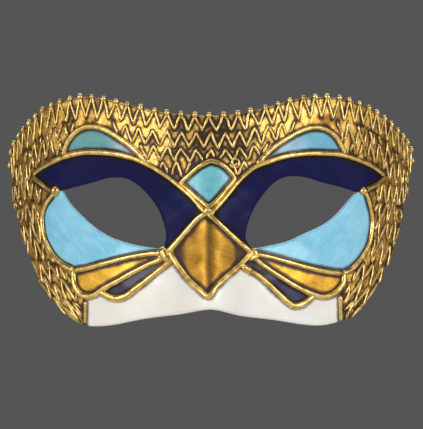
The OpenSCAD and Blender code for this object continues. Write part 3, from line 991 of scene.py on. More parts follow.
def keep_number(mesh: bpy.types.Mesh, name: str, values: Points) -> None:
    """Keeps a number on each of a mesh's points.

    Args:
        mesh: the mesh.
        name: the attribute's name.
        values: the numbers.
    """
    mesh.attributes.new(name, "FLOAT", "POINT").data.foreach_set("value", np.asarray(values, np.float32))


def add_object(name: str, mesh: bpy.types.Mesh) -> bpy.types.Object:
    """Puts a mesh into the scene, at the origin."""
    piece = bpy.data.objects.new(name, mesh)
    bpy.context.scene.collection.objects.link(piece)
    return piece


def make_piece(name: str, places: Points, faces: Sequence[Sequence[int]], material: bpy.types.Material,
               attributes: dict[str, Points] | None = None) -> bpy.types.Object:
    """Makes an object from points and faces.

    Args:
        name: its name.
        places: its points, in metres.
        faces: the corners of its faces.
        material: its finish.
        attributes: numbers kept on its points.

    Returns:
        The new object, smooth shaded, at the origin.
    """
    mesh = bpy.data.meshes.new(name)
    mesh.from_pydata([tuple(p) for p in places], [], [tuple(int(i) for i in f) for f in faces])
    mesh.materials.append(material)
    for key, values in (attributes or {}).items():
        keep_number(mesh, key, values)
    mesh.shade_smooth()
    return add_object(name, mesh)


def declare(piece: bpy.types.Object, slot: str, *nodes: str) -> None:
    """Hangs a piece on the root body, hides the parts that it replaces, and logs it.

    Args:
        piece: the piece.
        slot: the record's material slot; not used.
        nodes: the nodes that it replaces.
    """
    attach(piece, ROOT)
    if nodes:
        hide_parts(*nodes)
    log.info("%s: %d faces", piece.name, len(piece.data.polygons))


@dataclass
class Sheet:
    """A thin closed skin over a region of the unrolled face."""

    face: Face
    loops: list[Points]
    keep: Callable[[Points], np.ndarray]
    rims: list[Points]
    spacing: float
    rings: tuple[float, ...] = (0.15, 0.45, 0.85, 1.3)
    edge_share: float = 0.8

    def _samples(self) -> Points:
        """Points inside the region: rings along its edges and an even grid between them."""
        corners = np.vstack(self.loops)
        low, high = corners.min(axis=0), corners.max(axis=0)
        rise = self.spacing * math.sqrt(3) / 2
        rows = np.arange(low[1], high[1] + rise, rise)
        columns = np.arange(low[0], high[0], self.spacing)
        grid = np.vstack([
            np.column_stack([columns + (k % 2) * self.spacing / 2, np.full(len(columns), z)])
            for k, z in enumerate(rows)])
        grid = grid[self.keep(grid)]
        grid = grid[distance(grid, self.loops) > self.rings[-1] + 0.45 * self.spacing]
        found = [grid]
        for loop in self.loops:
            path = evenly(np.vstack([loop, loop[:1]]), self.spacing * self.edge_share)[:-1]
            side = sideways(path)
            for ring in self.rings:
                for sign in (1, -1):
                    spots = path + sign * ring * side
                    spots = spots[self.keep(spots)]
                    found.append(spots[distance(spots, self.loops) > 0.93 * ring])
        return np.vstack(found)

    def build(self, name: str, material: bpy.types.Material, high: Callable[[Points, Points], Points],
              low: Callable[[Points, Points], Points],
              extras: Callable[[Points], dict[str, Points]] | None = None) -> bpy.types.Object:
        """Makes the skin.

        Args:
            name: the piece's name.
            material: its finish.
            high: lift of its front over points, given also their distances from the rims.
            low: lift of its back, in the same way.
            extras: further numbers to keep on its points.

        Returns:
            The piece.
        """
        coords = [tuple(p) for p in self._samples()]
        edges = []
        for loop in self.loops:
            closed = np.vstack([loop, loop[:1]])
            path = np.vstack([evenly(closed[i:i + 2], self.spacing * self.edge_share)[:-1]
                              for i in range(len(loop))])
            start = len(coords)
            coords += [tuple(p) for p in path]
            edges += [(start + i, start + (i + 1) % len(path)) for i in range(len(path))]
        spots, _, faces, *_ = delaunay_2d_cdt([Vector(c) for c in coords], edges, [], 0, 1e-3)
        plan = np.array([tuple(v) for v in spots])
        triangles = np.array(faces, int)
        middle = plan[triangles].mean(axis=1)
        triangles = triangles[self.keep(middle)]
        used, triangles = np.unique(triangles, return_inverse=True)
        triangles = triangles.reshape(-1, 3)
        plan = plan[used]
        a, b, c = (plan[triangles[:, k]] for k in range(3))
        turn = (b[:, 0] - a[:, 0]) * (c[:, 1] - a[:, 1]) - (b[:, 1] - a[:, 1]) * (c[:, 0] - a[:, 0])
        triangles[turn < 0] = triangles[turn < 0][:, ::-1]
        rim = distance(plan, self.rims) if self.rims else np.full(len(plan), FAR)
        top = self.face.place(plan, high(plan, rim))
        bottom = self.face.place(plan, low(plan, rim))
        count = len(plan)
        sides = self._walls(triangles, count)
        values = {"rim": np.tile(np.minimum(rim, FAR), 2)}
        for key, numbers in (extras(plan) if extras else {}).items():
            values[key] = np.tile(numbers, 2)
        return make_piece(name, np.vstack([top, bottom]),
                          np.vstack([triangles, triangles[:, ::-1] + count, sides]), material, values)

    @staticmethod
    def _walls(triangles: Points, count: int) -> Points:
        """The faces that join the front to the back along open edges.

        Args:
            triangles: the front's faces.
            count: how many points the front has.

        Returns:
            Triangles of the walls.
        """
        ways = np.vstack([triangles[:, [0, 1]], triangles[:, [1, 2]], triangles[:, [2, 0]]])
        known = {tuple(w) for w in ways}
        open_edges = np.array([w for w in ways if (w[1], w[0]) not in known])
        i, j = open_edges[:, 0], open_edges[:, 1]
        return np.vstack([np.column_stack([j, i, i + count]), np.column_stack([j, i + count, j + count])])


@dataclass(frozen=True)
class BeadPath:
    """One path of a raised bead: its points on the unrolled face, its lifts and its thickness."""

    plan: Points
    lift: Points
    radius: Points
    closed: bool = False


@dataclass(frozen=True)
class Lumps:
    """How coarse a bead is: its sides, how far its thickness varies, and its lumps to the metre."""

    sides: int
    height: float
    size: float


class PasteTree:
    """A geometry tree that lays relief paste on a mesh of paths or points."""

    def __init__(self, name: str, kinds: dict[str, str]) -> None:
        """Makes the tree and the nodes that every kind of paste has.

        Args:
            name: the tree's name.
            kinds: the socket types of its inputs, by name.
        """
        self.group = bpy.data.node_groups.new(name, "GeometryNodeTree")
        face = self.group.interface
        face.new_socket("Geometry", in_out="OUTPUT", socket_type="NodeSocketGeometry")
        face.new_socket("Geometry", in_out="INPUT", socket_type="NodeSocketGeometry")
        self.inputs = {key: face.new_socket(key, in_out="INPUT", socket_type=kind).identifier
                       for key, kind in kinds.items()}
        self.tree = Tree(self.group)
        self.given = self.tree.node("NodeGroupInput").outputs
        self.radius = self.tree.node("GeometryNodeInputNamedAttribute", {"data_type": "FLOAT"},
                                     {"Name": "radius_mm"}).outputs["Attribute"]
        self.spot = self.tree.node("GeometryNodeInputPosition").outputs[0]

    def setting(self, name: str) -> Value:
        """One of the tree's inputs, as a value."""
        return Value(self.group, self.given[name])

    def end(self, shape: bpy.types.Node) -> None:
        """Ends the tree in smooth shading and the finish.

        Args:
            shape: the node that gives the shape.
        """
        smooth = self.tree.node("GeometryNodeSetShadeSmooth", None, {0: shape.outputs[0]})
        dressed = self.tree.node("GeometryNodeSetMaterial", None, {
            0: smooth.outputs[0], "Material": self.given["Finish"]})
        self.tree.node("NodeGroupOutput", None, {0: dressed.outputs[0]})

    def run(self, name: str, face: Face, places: Points, edges: list[tuple[int, int]], radius: Points,
            settings: dict[str, object]) -> bpy.types.Object:
        """Runs the tree and keeps only the plain mesh.

        Args:
            name: the new piece's name.
            face: the face that it lies on.
            places: the points that the paste is laid on, in metres.
            edges: the pairs of points that a path joins.
            radius: the paste's radius at each point, in millimetres.
            settings: the tree's inputs, by name.

        Returns:
            The new piece, with its height above the face kept as "crest".
        """
        base = bpy.data.meshes.new(name + "_base")
        base.from_pydata([tuple(p) for p in places], edges, [])
        keep_number(base, "radius_mm", radius)
        holder = add_object(name + "_base", base)
        modifier = holder.modifiers.new("paste", "NODES")
        modifier.node_group = self.group
        for key, value in settings.items():
            modifier[self.inputs[key]] = value
        bpy.context.view_layer.update()
        evaluated = holder.evaluated_get(bpy.context.evaluated_depsgraph_get())
        mesh = bpy.data.meshes.new_from_object(evaluated)
        mesh.name = name
        bpy.data.objects.remove(holder)
        keep_number(mesh, "crest", np.clip(face.lift_of(points_of(mesh)) / CREST, 0.0, 1.0))
        return add_object(name, mesh)


class BeadTree(PasteTree):
    """The geometry tree that turns paths into round beads of paste."""

    def __init__(self) -> None:
        """Builds the tree once."""
        super().__init__("bead_along_path", {
            "Lump Height": "NodeSocketFloat", "Lump Size": "NodeSocketFloat", "Sides": "NodeSocketInt",
            "Seed": "NodeSocketFloat", "Finish": "NodeSocketMaterial"})
        tree, given = self.tree, self.given
        path = tree.node("GeometryNodeMeshToCurve", None, {0: given["Geometry"]})
        lumps = tree.node("ShaderNodeTexNoise", {"noise_dimensions": "4D"}, {
            "Vector": self.spot, "W": given["Seed"], "Scale": given["Lump Size"], "Detail": 2.0})
        swell = (tree.value(lumps, "Fac") - 0.5) * self.setting("Lump Height") + 1.0
        ring = tree.node("GeometryNodeCurvePrimitiveCircle", None, {
            "Resolution": given["Sides"], "Radius": MM})
        bead = tree.node("GeometryNodeCurveToMesh", None, {
            "Curve": path.outputs[0], "Profile Curve": ring.outputs[0],
            "Scale": swell * Value(self.group, self.radius), "Fill Caps": True})
        self.end(tree.node("GeometryNodeRealizeInstances", None, {0: bead.outputs[0]}))

    def build(self, name: str, face: Face, paths: Sequence[BeadPath], finish: bpy.types.Material,
              lumps: Lumps, seed: float) -> bpy.types.Object:
        """Makes one piece of all its beads.

        Args:
            name: the piece's name.
            face: the face that they lie on.
            paths: the beads.
            finish: the material.
            lumps: how coarse they are.
            seed: which lumps.

        Returns:
            The piece.
        """
        edges = []
        start = 0
        for path in paths:
            count = len(path.plan)
            edges += [(start + i, start + i + 1) for i in range(count - 1)]
            if path.closed:
                edges.append((start + count - 1, start))
            start += count
        places = np.vstack([face.place(path.plan, path.lift) for path in paths])
        radii = np.concatenate([path.radius for path in paths])
        return self.run(name, face, places, edges, radii, {
            "Lump Height": lumps.height, "Lump Size": lumps.size, "Sides": lumps.sides, "Seed": seed,
            "Finish": finish})


class DropTree(PasteTree):
    """The geometry tree that sets drops of paste on points."""

    lump_size: float = 420.0

    def __init__(self) -> None:
        """Builds the tree once."""
        super().__init__("drops_on_points", {
            "Unevenness": "NodeSocketFloat", "Finish": "NodeSocketMaterial"})
        tree = self.tree
        cloud = tree.node("GeometryNodeMeshToPoints", None, {0: self.given["Geometry"]})
        ball = tree.node("GeometryNodeMeshIcoSphere", None, {"Radius": MM, "Subdivisions": 3})
        drops = tree.node("GeometryNodeInstanceOnPoints", None, {
            "Points": cloud.outputs[0], "Instance": ball.outputs[0], "Scale": self.radius})
        whole = tree.node("GeometryNodeRealizeInstances", None, {0: drops.outputs[0]})
        lumps = tree.node("ShaderNodeTexNoise", {"noise_dimensions": "3D"}, {
            "Vector": self.spot, "Scale": self.lump_size, "Detail": 1.0})
        amount = (tree.value(lumps, "Fac") - 0.5) * self.setting("Unevenness")
        way = tree.node("GeometryNodeInputNormal")
        push = tree.node("ShaderNodeVectorMath", {"operation": "SCALE"}, {0: way.outputs[0], "Scale": amount})
        self.end(tree.node("GeometryNodeSetPosition", None, {0: whole.outputs[0], "Offset": push.outputs[0]}))

    def build(self, name: str, face: Face, plan: Points, lift: float, radius: Points,
              finish: bpy.types.Material, unevenness: float) -> bpy.types.Object:
        """Makes one piece of drops.

        Args:
            name: the piece's name.
            face: the face that they stand on.
            plan: their places on the unrolled face.
            lift: how high their middles stand, in millimetres.
            radius: their radii, in millimetres.
            finish: the material.
            unevenness: how lumpy they are, in millimetres.

        Returns:
            The piece.
        """
        return self.run(name, face, face.place(plan, lift), [], radius, {
            "Unevenness": unevenness * MM, "Finish": finish})


def points_of(mesh: bpy.types.Mesh) -> Points:
    """The places of a mesh's points, in metres."""
    flat = np.empty(len(mesh.vertices) * 3, np.float32)
    mesh.vertices.foreach_get("co", flat)
    return flat.reshape(-1, 3).astype(float)


# ---- Sub-assemblies ----

@dataclass
class FaceShell:
    """The papier-mache shell and its cotton lining."""

    face: Face
    pattern: Pattern
    rim_roll: float = 1.2
    lining_inset: float = 2.2
    grid: float = 1.7
    shell_rings: tuple[float, ...] = (0.12, 0.4, 0.8, 1.3)
    cloth_rings: tuple[float, ...] = (0.15, 0.5)
    cloth_edge: float = 0.35
    cloth_edge_reach: float = 0.8

    def rolled(self, rim: Points) -> Points:
        """How far a surface has rolled over at a distance from the rim."""
        d = np.clip(rim, 0.0, self.rim_roll)
        return self.rim_roll - np.sqrt(np.maximum(self.rim_roll ** 2 - (self.rim_roll - d) ** 2, 0.0))

    def build(self) -> None:
        """Builds both pieces."""
        rims = [self.pattern.outline(), *self.pattern.eyes()]
        face = self.face
        within = self._between(rims)
        shell = Sheet(face, rims, within, rims, self.grid, self.shell_rings)
        piece = shell.build(
            "papier_mache_shell", PapierMache().build(),
            lambda plan, rim: -self.rolled(rim), lambda plan, rim: -face.shell_t + self.rolled(rim))
        declare(piece, "papier_mache", "shell")
        loops = [self._inset(loop, within) for loop in rims]
        back = -face.shell_t - face.gap
        edge = self.cloth_edge
        cloth = Sheet(face, loops, self._between(loops), loops, self.grid, self.cloth_rings)
        piece = cloth.build(
            "cotton_lining", CottonWeave().build(),
            lambda plan, rim: np.full(len(plan), back),
            lambda plan, rim: back - face.lining_t * np.clip(edge + rim / self.cloth_edge_reach, edge, 1.0),
            lambda plan: {"weave_u": plan[:, 0] + plan[:, 1], "weave_v": plan[:, 0] - plan[:, 1]})
        declare(piece, "cotton_lining", "lining")

    @staticmethod
    def _between(loops: list[Points]) -> Callable[[Points], np.ndarray]:
        """The test for the region inside the first loop and outside the others.

        Args:
            loops: the outline and the eyes.

        Returns:
            A function that gives one truth value for each point.
        """
        outer, *holes = loops

        def within(points: Points) -> np.ndarray:
            """Inside the outline and outside the eyes."""
            kept = inside(points, outer)
            for hole in holes:
                kept &= ~inside(points, hole)
            return kept

        return within

    def _inset(self, loop: Points, within: Callable[[Points], np.ndarray]) -> Points:
        """A loop moved into the material by the lining's inset.

        Args:
            loop: the loop.
            within: tells which side is material.

        Returns:
            The new loop.
        """
        path = evenly(np.vstack([loop, loop[:1]]), 1.5)[:-1]
        side = sideways(path)
        if within(path + 0.3 * side).mean() < 0.5:
            side = -side
        moved = path + self.lining_inset * side
        return moved[distance(moved, [loop]) > 0.97 * self.lining_inset]


@dataclass
class EnamelCells:
    """The painted cells between the raised lines."""

    face: Face
    pattern: Pattern
    shell: FaceShell
    thickness: float = 0.38
    sunk: float = 0.02
    swell: float = 0.12
    grid: float = 0.85

    def finishes(self) -> dict[str, tuple[bpy.types.Material, str]]:
        """Each cell's finish and slot."""
        sky = {"light": (0.32, 0.69, 0.86), "dark": (0.17, 0.54, 0.76), "streaks": Streaks.UPRIGHT,
               "gloss": 0.34}
        indigo = {"gloss": 0.4, "relief": 0.08, "specular": 0.2}
        cobalt = Enamel("cobalt_brow", light=(0.007, 0.008, 0.075), dark=(0.0045, 0.005, 0.04), gloss=0.5,
                        coat_weight=0.03, relief=0.006, specular=0.1).build()
        amber = AmberGold().build()
        made = {
            "lid_panel_left": Enamel(
                "turquoise_lid_left", light=(0.15, 0.42, 0.43), dark=(0.085, 0.29, 0.30), turn=28.0,
                gloss=0.36, pale=(0.50, 0.55, 0.60), pale_from=48.0, pale_to=33.0).build(),
            "lid_panel_right": Enamel(
                "turquoise_lid_right", light=(0.18, 0.52, 0.68), dark=(0.115, 0.40, 0.54), turn=-28.0,
                gloss=0.36, pale=(0.52, 0.58, 0.64), pale_from=42.0, pale_to=27.0).build(),
            "forehead_panel": Enamel(
                "turquoise_forehead", light=(0.22, 0.60, 0.68), dark=(0.10, 0.40, 0.46),
                streaks=Streaks.MOTTLED, gloss=0.36).build(),
            "brow_panel_left": cobalt,
            "brow_panel_right": cobalt,
            # The right cheek gets a wider band of painted shade along its lines than the left.
            "cheek_panel_left": Enamel("sky_cheek_left", turn=-40.0, shade_reach=2.5, **sky).build(),
            "cheek_panel_right": Enamel("sky_cheek_right", turn=40.0, shade_reach=3.1, **sky).build(),
            "dark_petal_left": Enamel("indigo_petal_left", light=(0.075, 0.075, 0.12),
                                      dark=(0.022, 0.022, 0.045), turn=-32.0, **indigo).build(),
            "dark_petal_right": Enamel("indigo_petal_right", light=(0.085, 0.075, 0.15),
                                       dark=(0.022, 0.019, 0.055), turn=32.0, **indigo).build(),
            "gold_petal_left": amber,
            "gold_petal_right": amber,
            # The nose cell is the petals' amber gold in darker colours, as painted shade, with painted shade
            # in its side corners and a painted dark reflection along the ridge.
            "nose_panel": AmberGold(
                "amber_gold_nose", light=(0.62, 0.33, 0.036), dark=(0.36, 0.165, 0.013), middle=-0.8,
                corner_from=9.8, corner_to=12.2, ridge=0.6).build(),
            "ivory_panel": IvoryPaint().build(),
        }
        slots = {"lid": "turquoise_enamel", "forehead": "turquoise_enamel", "brow": "cobalt_enamel",
                 "cheek": "sky_enamel", "dark": "indigo_enamel", "gold": "amber_gold_paint",
                 "nose": "amber_gold_paint", "ivory": "ivory_enamel"}
        return {name: (material, slots[name.split("_")[0]]) for name, material in made.items()}

    def build(self) -> None:
        """Builds every cell."""
        outline, eyes = self.pattern.outline(), self.pattern.eyes()
        finishes = self.finishes()
        middles = [self.pattern.line(name) for name in self.pattern.lines]
        rims = [self.pattern.forehead_rim(), self.pattern.nose_rim()]
        for name, loop in self.pattern.cells().items():
            material, slot = finishes[name]
            low, high = loop.min(axis=0) - 3, loop.max(axis=0) + 3
            near = [eye for eye in eyes if (eye.min(axis=0) < high).all() and (eye.max(axis=0) > low).all()]
            bounds = [outline] if name == "ivory_panel" else []

            def within(points: Points, loop: Points = loop, near: list = near,
                       bounds: list = bounds) -> np.ndarray:
                """Inside the cell, inside the outline and outside the eyes."""
                kept = inside(points, loop)
                for eye in near:
                    kept &= ~inside(points, eye)
                for edge in bounds:
                    kept &= inside(points, edge)
                return kept

            def front(plan: Points, rim: Points) -> Points:
                """Painted surface: it rolls over the rim and undulates a little."""
                wave = np.sin(plan[:, 0] * 0.42 + 1.3) * np.sin(plan[:, 1] * 0.55 + 0.4)
                return self.thickness - self.shell.rolled(rim) + self.swell * wave * np.clip(rim / 3, 0, 1)

            def extras(plan: Points) -> dict[str, Points]:
                """Distance from the middles of the lines."""
                seam = np.minimum(distance(plan, middles, closed=False), distance(plan, rims))
                return {"seam": np.minimum(seam, FAR)}

            sheet = Sheet(self.face, [loop, *near, *bounds], within, [*near, *bounds], self.grid)
            piece = sheet.build(name + "_paint", material, front,
                                lambda plan, rim: self.sunk - self.shell.rolled(rim), extras)
            declare(piece, slot, name)


@dataclass
class RaisedLines:
    """The gilded lines of relief paste between the cells, and their knobs."""

    face: Face
    pattern: Pattern
    beads: BeadTree
    rise: float = 0.30
    step: float = 0.6
    fullness: float = 1.08
    blob_step: float = 0.28
    blob_lift: float = 0.28
    blob_overrun: float = 0.9
    line_lumps: Lumps = Lumps(12, 0.5, 190.0)
    knob_lumps: Lumps = Lumps(20, 0.6, 260.0)
    line_seed: float = 3.0
    knob_seed: float = 40.0
    knot_seed: float = 1.0
    thickness: dict = field(default_factory=lambda: {
        "brow_line_left": (0.95, 1.2, 1.3, 1.35, 1.3, 1.25, 1.1, 0.9, 0.85, 1.0, 1.1),
        "brow_line_right": (0.9, 1.0, 1.1, 1.15, 1.1, 1.05, 1.1, 0.95, 0.9, 0.95, 1.0),
        "lid_line_left": (1.3, 1.3, 1.25, 1.3, 1.2, 1.15, 1.25, 1.4, 1.3),
        "lid_line_right": (1.15, 1.05, 1.0, 1.05, 1.0, 0.95, 1.0, 1.15, 1.1),
        "temple_line_left": (0.9, 0.95, 1.0, 1.1),
        "temple_line_right": (0.85, 0.9, 1.0, 1.1),
        "cheek_line_left": (1.0, 1.1, 1.1, 1.15, 1.1, 1.15, 1.2, 1.3),
        "cheek_line_right": (0.95, 1.0, 1.0, 1.05, 1.05, 1.1, 1.2),
        "petal_top_line_left": (1.5, 1.2, 1.2, 1.25, 1.3, 1.35),
        "petal_top_line_right": (1.3, 1.05, 1.1, 1.15, 1.2, 1.3),
        "gold_petal_line_left": (1.25, 1.4, 1.5, 1.4, 1.35, 1.3, 1.2, 1.2, 1.4),
        "gold_petal_line_right": (1.3, 1.2, 1.25, 1.3, 1.15, 1.1, 1.05, 1.05, 1.2),
        "dark_petal_line_left": (1.3, 1.5, 1.6, 1.5, 1.35, 1.3, 1.3, 1.6),
        "dark_petal_line_right": (1.15, 1.4, 1.45, 1.35, 1.25, 1.2, 1.3, 1.5),
        "ivory_line_left": (0.9, 0.8, 0.75),
        "ivory_line_right": (1.2, 0.95, 0.85),
        "forehead_rim": (1.0, 0.95, 1.0, 1.05, 0.95, 0.95, 1.05, 1.1, 0.9, 0.85, 1.0),
        "nose_rim": (1.6, 1.5, 1.4, 1.2, 1.15, 1.2, 1.35, 1.2, 1.15, 1.25, 1.35, 1.3, 1.3, 1.6),
    })
    before: dict = field(default_factory=lambda: {
        "petal_top_line_left": (-20.2, -21.2), "petal_top_line_right": (18.8, -21.2),
        "gold_petal_line_left": (-61.4, -28.8), "gold_petal_line_right": (58.9, -29.9),
        "dark_petal_line_left": (-49.2, -37.6), "dark_petal_line_right": (45.4, -39.8),
        "temple_line_left": (-79.2, 13.4), "temple_line_right": (77.4, 12.9),
        "lid_line_left": (-65.1, 21.8), "lid_line_right": (59.2, 22.2),
        "cheek_line_left": (-69.2, 5.6), "cheek_line_right": (67.8, 5.6),
    })
    after: dict = field(default_factory=lambda: {
        "brow_line_left": (-1.9, -3.9), "brow_line_right": (-1.2, -3.9),
        "gold_petal_line_left": (-19.4, -22.4), "gold_petal_line_right": (18.0, -22.6),
        "dark_petal_line_left": (-16.8, -23.6), "dark_petal_line_right": (14.2, -27.2),
        "lid_line_left": (-27.0, 18.4), "lid_line_right": (20.2, 17.6),
        "temple_line_left": (-68.8, 6.3), "temple_line_right": (67.4, 6.3),
        "cheek_line_left": (-60.4, -29.0), "cheek_line_right": (57.8, -30.4),
    })
    knobs: dict = field(default_factory=lambda: {
        "corner_bead_left": ((-68.4, 6.2, 2.3), (-70.6, 6.8, 1.3)),
        "corner_bead_right": ((67.1, 6.2, 2.0), (69.1, 6.7, 1.2)),
        "junction_knob_left": (
            (-20.3, -21.1, 2.8), (-19.2, -23.2, 2.5), (-17.4, -24.2, 1.8), (-21.8, -22.9, 1.7)),
        "junction_knob_right": ((18.7, -20.8, 1.9), (19.3, -22.5, 1.8), (17.3, -23.5, 1.5)),
        "petal_knob_right": ((14.6, -28.0, 2.1), (16.6, -29.0, 1.7), (13.4, -26.8, 1.5)),
    })
    bridge_knot: tuple = ((-1.2, -2.2, 1.6), (-2.8, -3.4, 1.3), (0.6, -3.4, 1.2))

    def path(self, name: str, plan: Points, closed: bool = False) -> BeadPath:
        """A line's bead.

        Args:
            name: the line's name.
            plan: its points on the unrolled face.
            closed: whether it joins itself.

        Returns:
            The bead, with rounded ends.
        """
        even = evenly(np.vstack([plan, plan[:1]]) if closed else plan, self.step)
        share = np.linspace(0, 1, len(even))
        thick = np.array(self.thickness[name]) * self.fullness
        size = np.interp(share, np.linspace(0, 1, len(thick)), thick)
        if closed:
            return BeadPath(even[:-1], np.full(len(even) - 1, self.rise), size[:-1], True)
        run = share * np.linalg.norm(np.diff(even, axis=0), axis=1).sum()
        shrink = rounded_ends(run, size, 0.04)
        return BeadPath(even, np.full(len(even), self.rise) * shrink, size * shrink)

    def blob(self, parts: tuple) -> BeadPath:
        """A knob of paste, pressed out along a short path.

        Args:
            parts: the places that it passes, each with its radius there.

        Returns:
            The bead, with rounded ends past the first and the last place.
        """
        spots = self.pattern.dots(*[(x, z) for x, z, _ in parts])
        radii = np.array([radius for *_, radius in parts])
        outwards = [
            (spots[i] - spots[k]) / np.linalg.norm(spots[i] - spots[k]) * radii[i] * self.blob_overrun
            for i, k in ((0, 1), (-1, -2))]
        whole = np.vstack([spots[0] + outwards[0], spots, spots[-1] + outwards[1]])
        reach = run_along(whole)
        run = np.linspace(0.0, reach[-1], int(reach[-1] / self.blob_step))
        size = np.interp(run, reach, np.concatenate([radii[:1], radii, radii[-1:]]))
        shrink = rounded_ends(run, size, 0.02)
        return BeadPath(sampled(whole, reach, run), size * self.blob_lift, size * shrink)

    def plan(self, name: str) -> Points:
        """A line's points, with the ends that run into its neighbours."""
        points = list(self.pattern.lines[name])
        if name in self.before:
            points.insert(0, self.before[name])
        if name in self.after:
            points.append(self.after[name])
        return self.pattern.curve(points)

    def build(self) -> None:
        """Builds the lines and the knobs."""
        leaf = GoldLeaf("gold_leaf_line").build()
        paths = {name: self.path(name, self.plan(name)) for name in self.pattern.lines}
        paths["forehead_rim"] = self.path("forehead_rim", self.pattern.forehead_rim(), True)
        paths["nose_rim"] = self.path("nose_rim", self.pattern.nose_rim(), True)
        pieces = [(name, path, self.line_lumps, self.line_seed + k)
                  for k, (name, path) in enumerate(paths.items())]
        pieces += [(name, self.blob(parts), self.knob_lumps, self.knob_seed)
                   for name, parts in self.knobs.items()]
        for name, path, lumps, seed in pieces:
            piece = self.beads.build(name + "_relief", self.face, [path], leaf, lumps, seed)
            declare(piece, "gilded_line", name)
        knot = self.beads.build("bridge_knot_relief", self.face, [self.blob(self.bridge_knot)], leaf,
                                self.knob_lumps, self.knot_seed)
        declare(knot, "gilded_line")


@dataclass
class GiltField:
    """The gilded ground, the zigzag threads on it and the drops along the edge."""

    face: Face
    pattern: Pattern
    shell: FaceShell
    beads: BeadTree
    drops: DropTree
    thread_radius: float = 0.62
    temple_radius: float = 0.78
    thread_lift: float = 0.12
    thread_lumps: Lumps = Lumps(8, 0.7, 380.0)
    thread_seed: float = 60.0
    shortest_thread: int = 5
    pitch: float = 6.2
    row_drop: float = 8.8
    line_gap: float = 1.35
    edge_row_gap: float = 0.5
    eyelet_gap: float = 4.6
    drop_radius: float = 1.42
    drop_spread: tuple[float, float] = (0.8, 1.1)
    drop_lift: float = 0.8
    drop_unevenness: float = 0.3
    temple_from: float = 74.0
    temple_tops: tuple[float, float] = (37.5, 36.0)
    temple_rows_count: int = 11
    temple_overlap: float = 0.7
    temple_stray: float = 0.14
    furthest: float = 91.4
    drift: float = 0.8
    wobble: float = 0.2
    temple_wobble: float = 0.42
    lean_from: float = 4.0
    lean_share: float = 0.8
    upright: float = 2.2
    uneven_pitch: float = 0.11
    turn_sharpness: float = 0.975
    stroke_straight: float = 0.78
    stroke_round: float = 0.22
    stroke_points: int = 9
    bend_length: float = 0.3
    overhang: tuple[float, float] = (0.05, 0.8)
    scroll_centre: tuple[float, float] = (10.4, 18.6)
    scroll_turn: tuple[float, float] = (200.0, 504.0)
    scroll_radius: tuple[float, float] = (2.4, 1.6)
    scroll_thickness: float = 0.85
    scroll_points: int = 60
    scroll_lumps: Lumps = Lumps(8, 0.5, 380.0)
    scroll_seed: float = 70.0
    ground_wave: float = 0.07
    ground_foot: float = 0.02
    ground_grid: float = 0.75
    line_half_width: float = 0.5
    seed: int = 11
    edge_row_foot: tuple = (
        (-88.8, 10), (-88, 16), (-84.3, 22.5), (-78.6, 28.4), (-72.6, 33.6), (-64, 37.4), (-54.5, 38.8),
        (-45, 38), (-32, 35.6), (-20, 33.4), (-8, 32.6), (0, 32.4), (12, 33.2), (25, 35.6),
        (38, 38), (50, 38.6), (60, 37.8), (70, 34), (76.8, 29.4), (81.8, 24.8), (86, 20),
        (88.5, 15), (89, 10))
    forehead_rows: tuple = (
        (((-43, 36.6), (-34, 34.4), (-22, 32.8), (-8, 31.8), (0, 31.6), (12, 32.4), (24, 34.6), (37, 37)),
         ((-43, 30.4), (-34, 27.6), (-22, 26), (-8, 25.2), (0, 25), (12, 25.6), (24, 27.6), (37, 30.6))),
        (((-31, 26.8), (-20, 25.4), (-10, 24.6), (0, 24.2), (10, 24.8), (25, 26.8)),
         ((-31, 21), (-20, 19.6), (-10, 19), (0, 18.6), (10, 19.2), (25, 21))),
        (((-27, 19.6), (-18, 18.8), (-9, 18.4)), ((-27, 13), (-18, 12), (-9, 11.6))),
        (((9, 18.6), (14, 18.8), (20, 19.6)), ((9, 13.4), (14, 13.2), (20, 14))))
    outer_left: tuple = (
        (-52.5, -59), (-45, -68), (-36.5, -75), (-25, -79.8), (-14, -83.9), (-4, -86.9),
        (5, -88.9), (18, -89.6), (24.5, -88.6), (31, -85.4), (38, -79))
    inner_left: tuple = (
        (-52.5, -56.2), (-40, -58), (-30, -61), (-20, -71), (-8, -75),
        (5, -70), (13, -79), (23, -64), (40, -60))
    outer_right: tuple = (
        (-50.5, 60.6), (-41, 70), (-31, 76), (-21, 80.8), (-9, 84.5), (4, 87.5),
        (14, 89.4), (20, 89.6), (24.5, 89.2), (29, 86.6), (38, 77.5))
    inner_right: tuple = (
        (-50.5, 57.6), (-38, 58), (-30, 60), (-18, 69.5), (-5, 71.5),
        (5, 69), (13, 77), (22, 59), (40, 55))

    def __post_init__(self) -> None:
        """Prepares the field's bounds and its chance."""
        self.chance = np.random.default_rng(self.seed)
        self.outline = self.pattern.outline()
        self.cells = self.pattern.all_cells()
        self.edge_foot = self.pattern.curve(self.edge_row_foot)
        self.eyelets = [np.array(mount["pos_m"]) / MM for mount in eyelet_mounts()]

    def below(self, top: Points, foot: Points) -> Points:
        """The points of a lower curve that lie under those of an upper one.

        Args:
            top: the upper curve.
            foot: the lower curve.

        Returns:
            One point of the lower curve for each of the upper one's, none before the last.
        """
        count, window = 900, 13
        fine = sampled(foot, np.linspace(0, 1, len(foot)), np.linspace(0, 1, count))
        aside = (fine[None, :, 0] - top[:, None, 0]) * self.upright
        apart = np.hypot(aside, fine[None, :, 1] - top[:, None, 1])
        place = np.maximum.accumulate(apart.argmin(axis=1)).astype(float)
        padded = np.pad(place, window // 2, mode="edge")
        smooth = np.convolve(padded, np.full(window, 1 / window), mode="valid")
        return fine[np.clip(smooth.round().astype(int), 0, count - 1)]

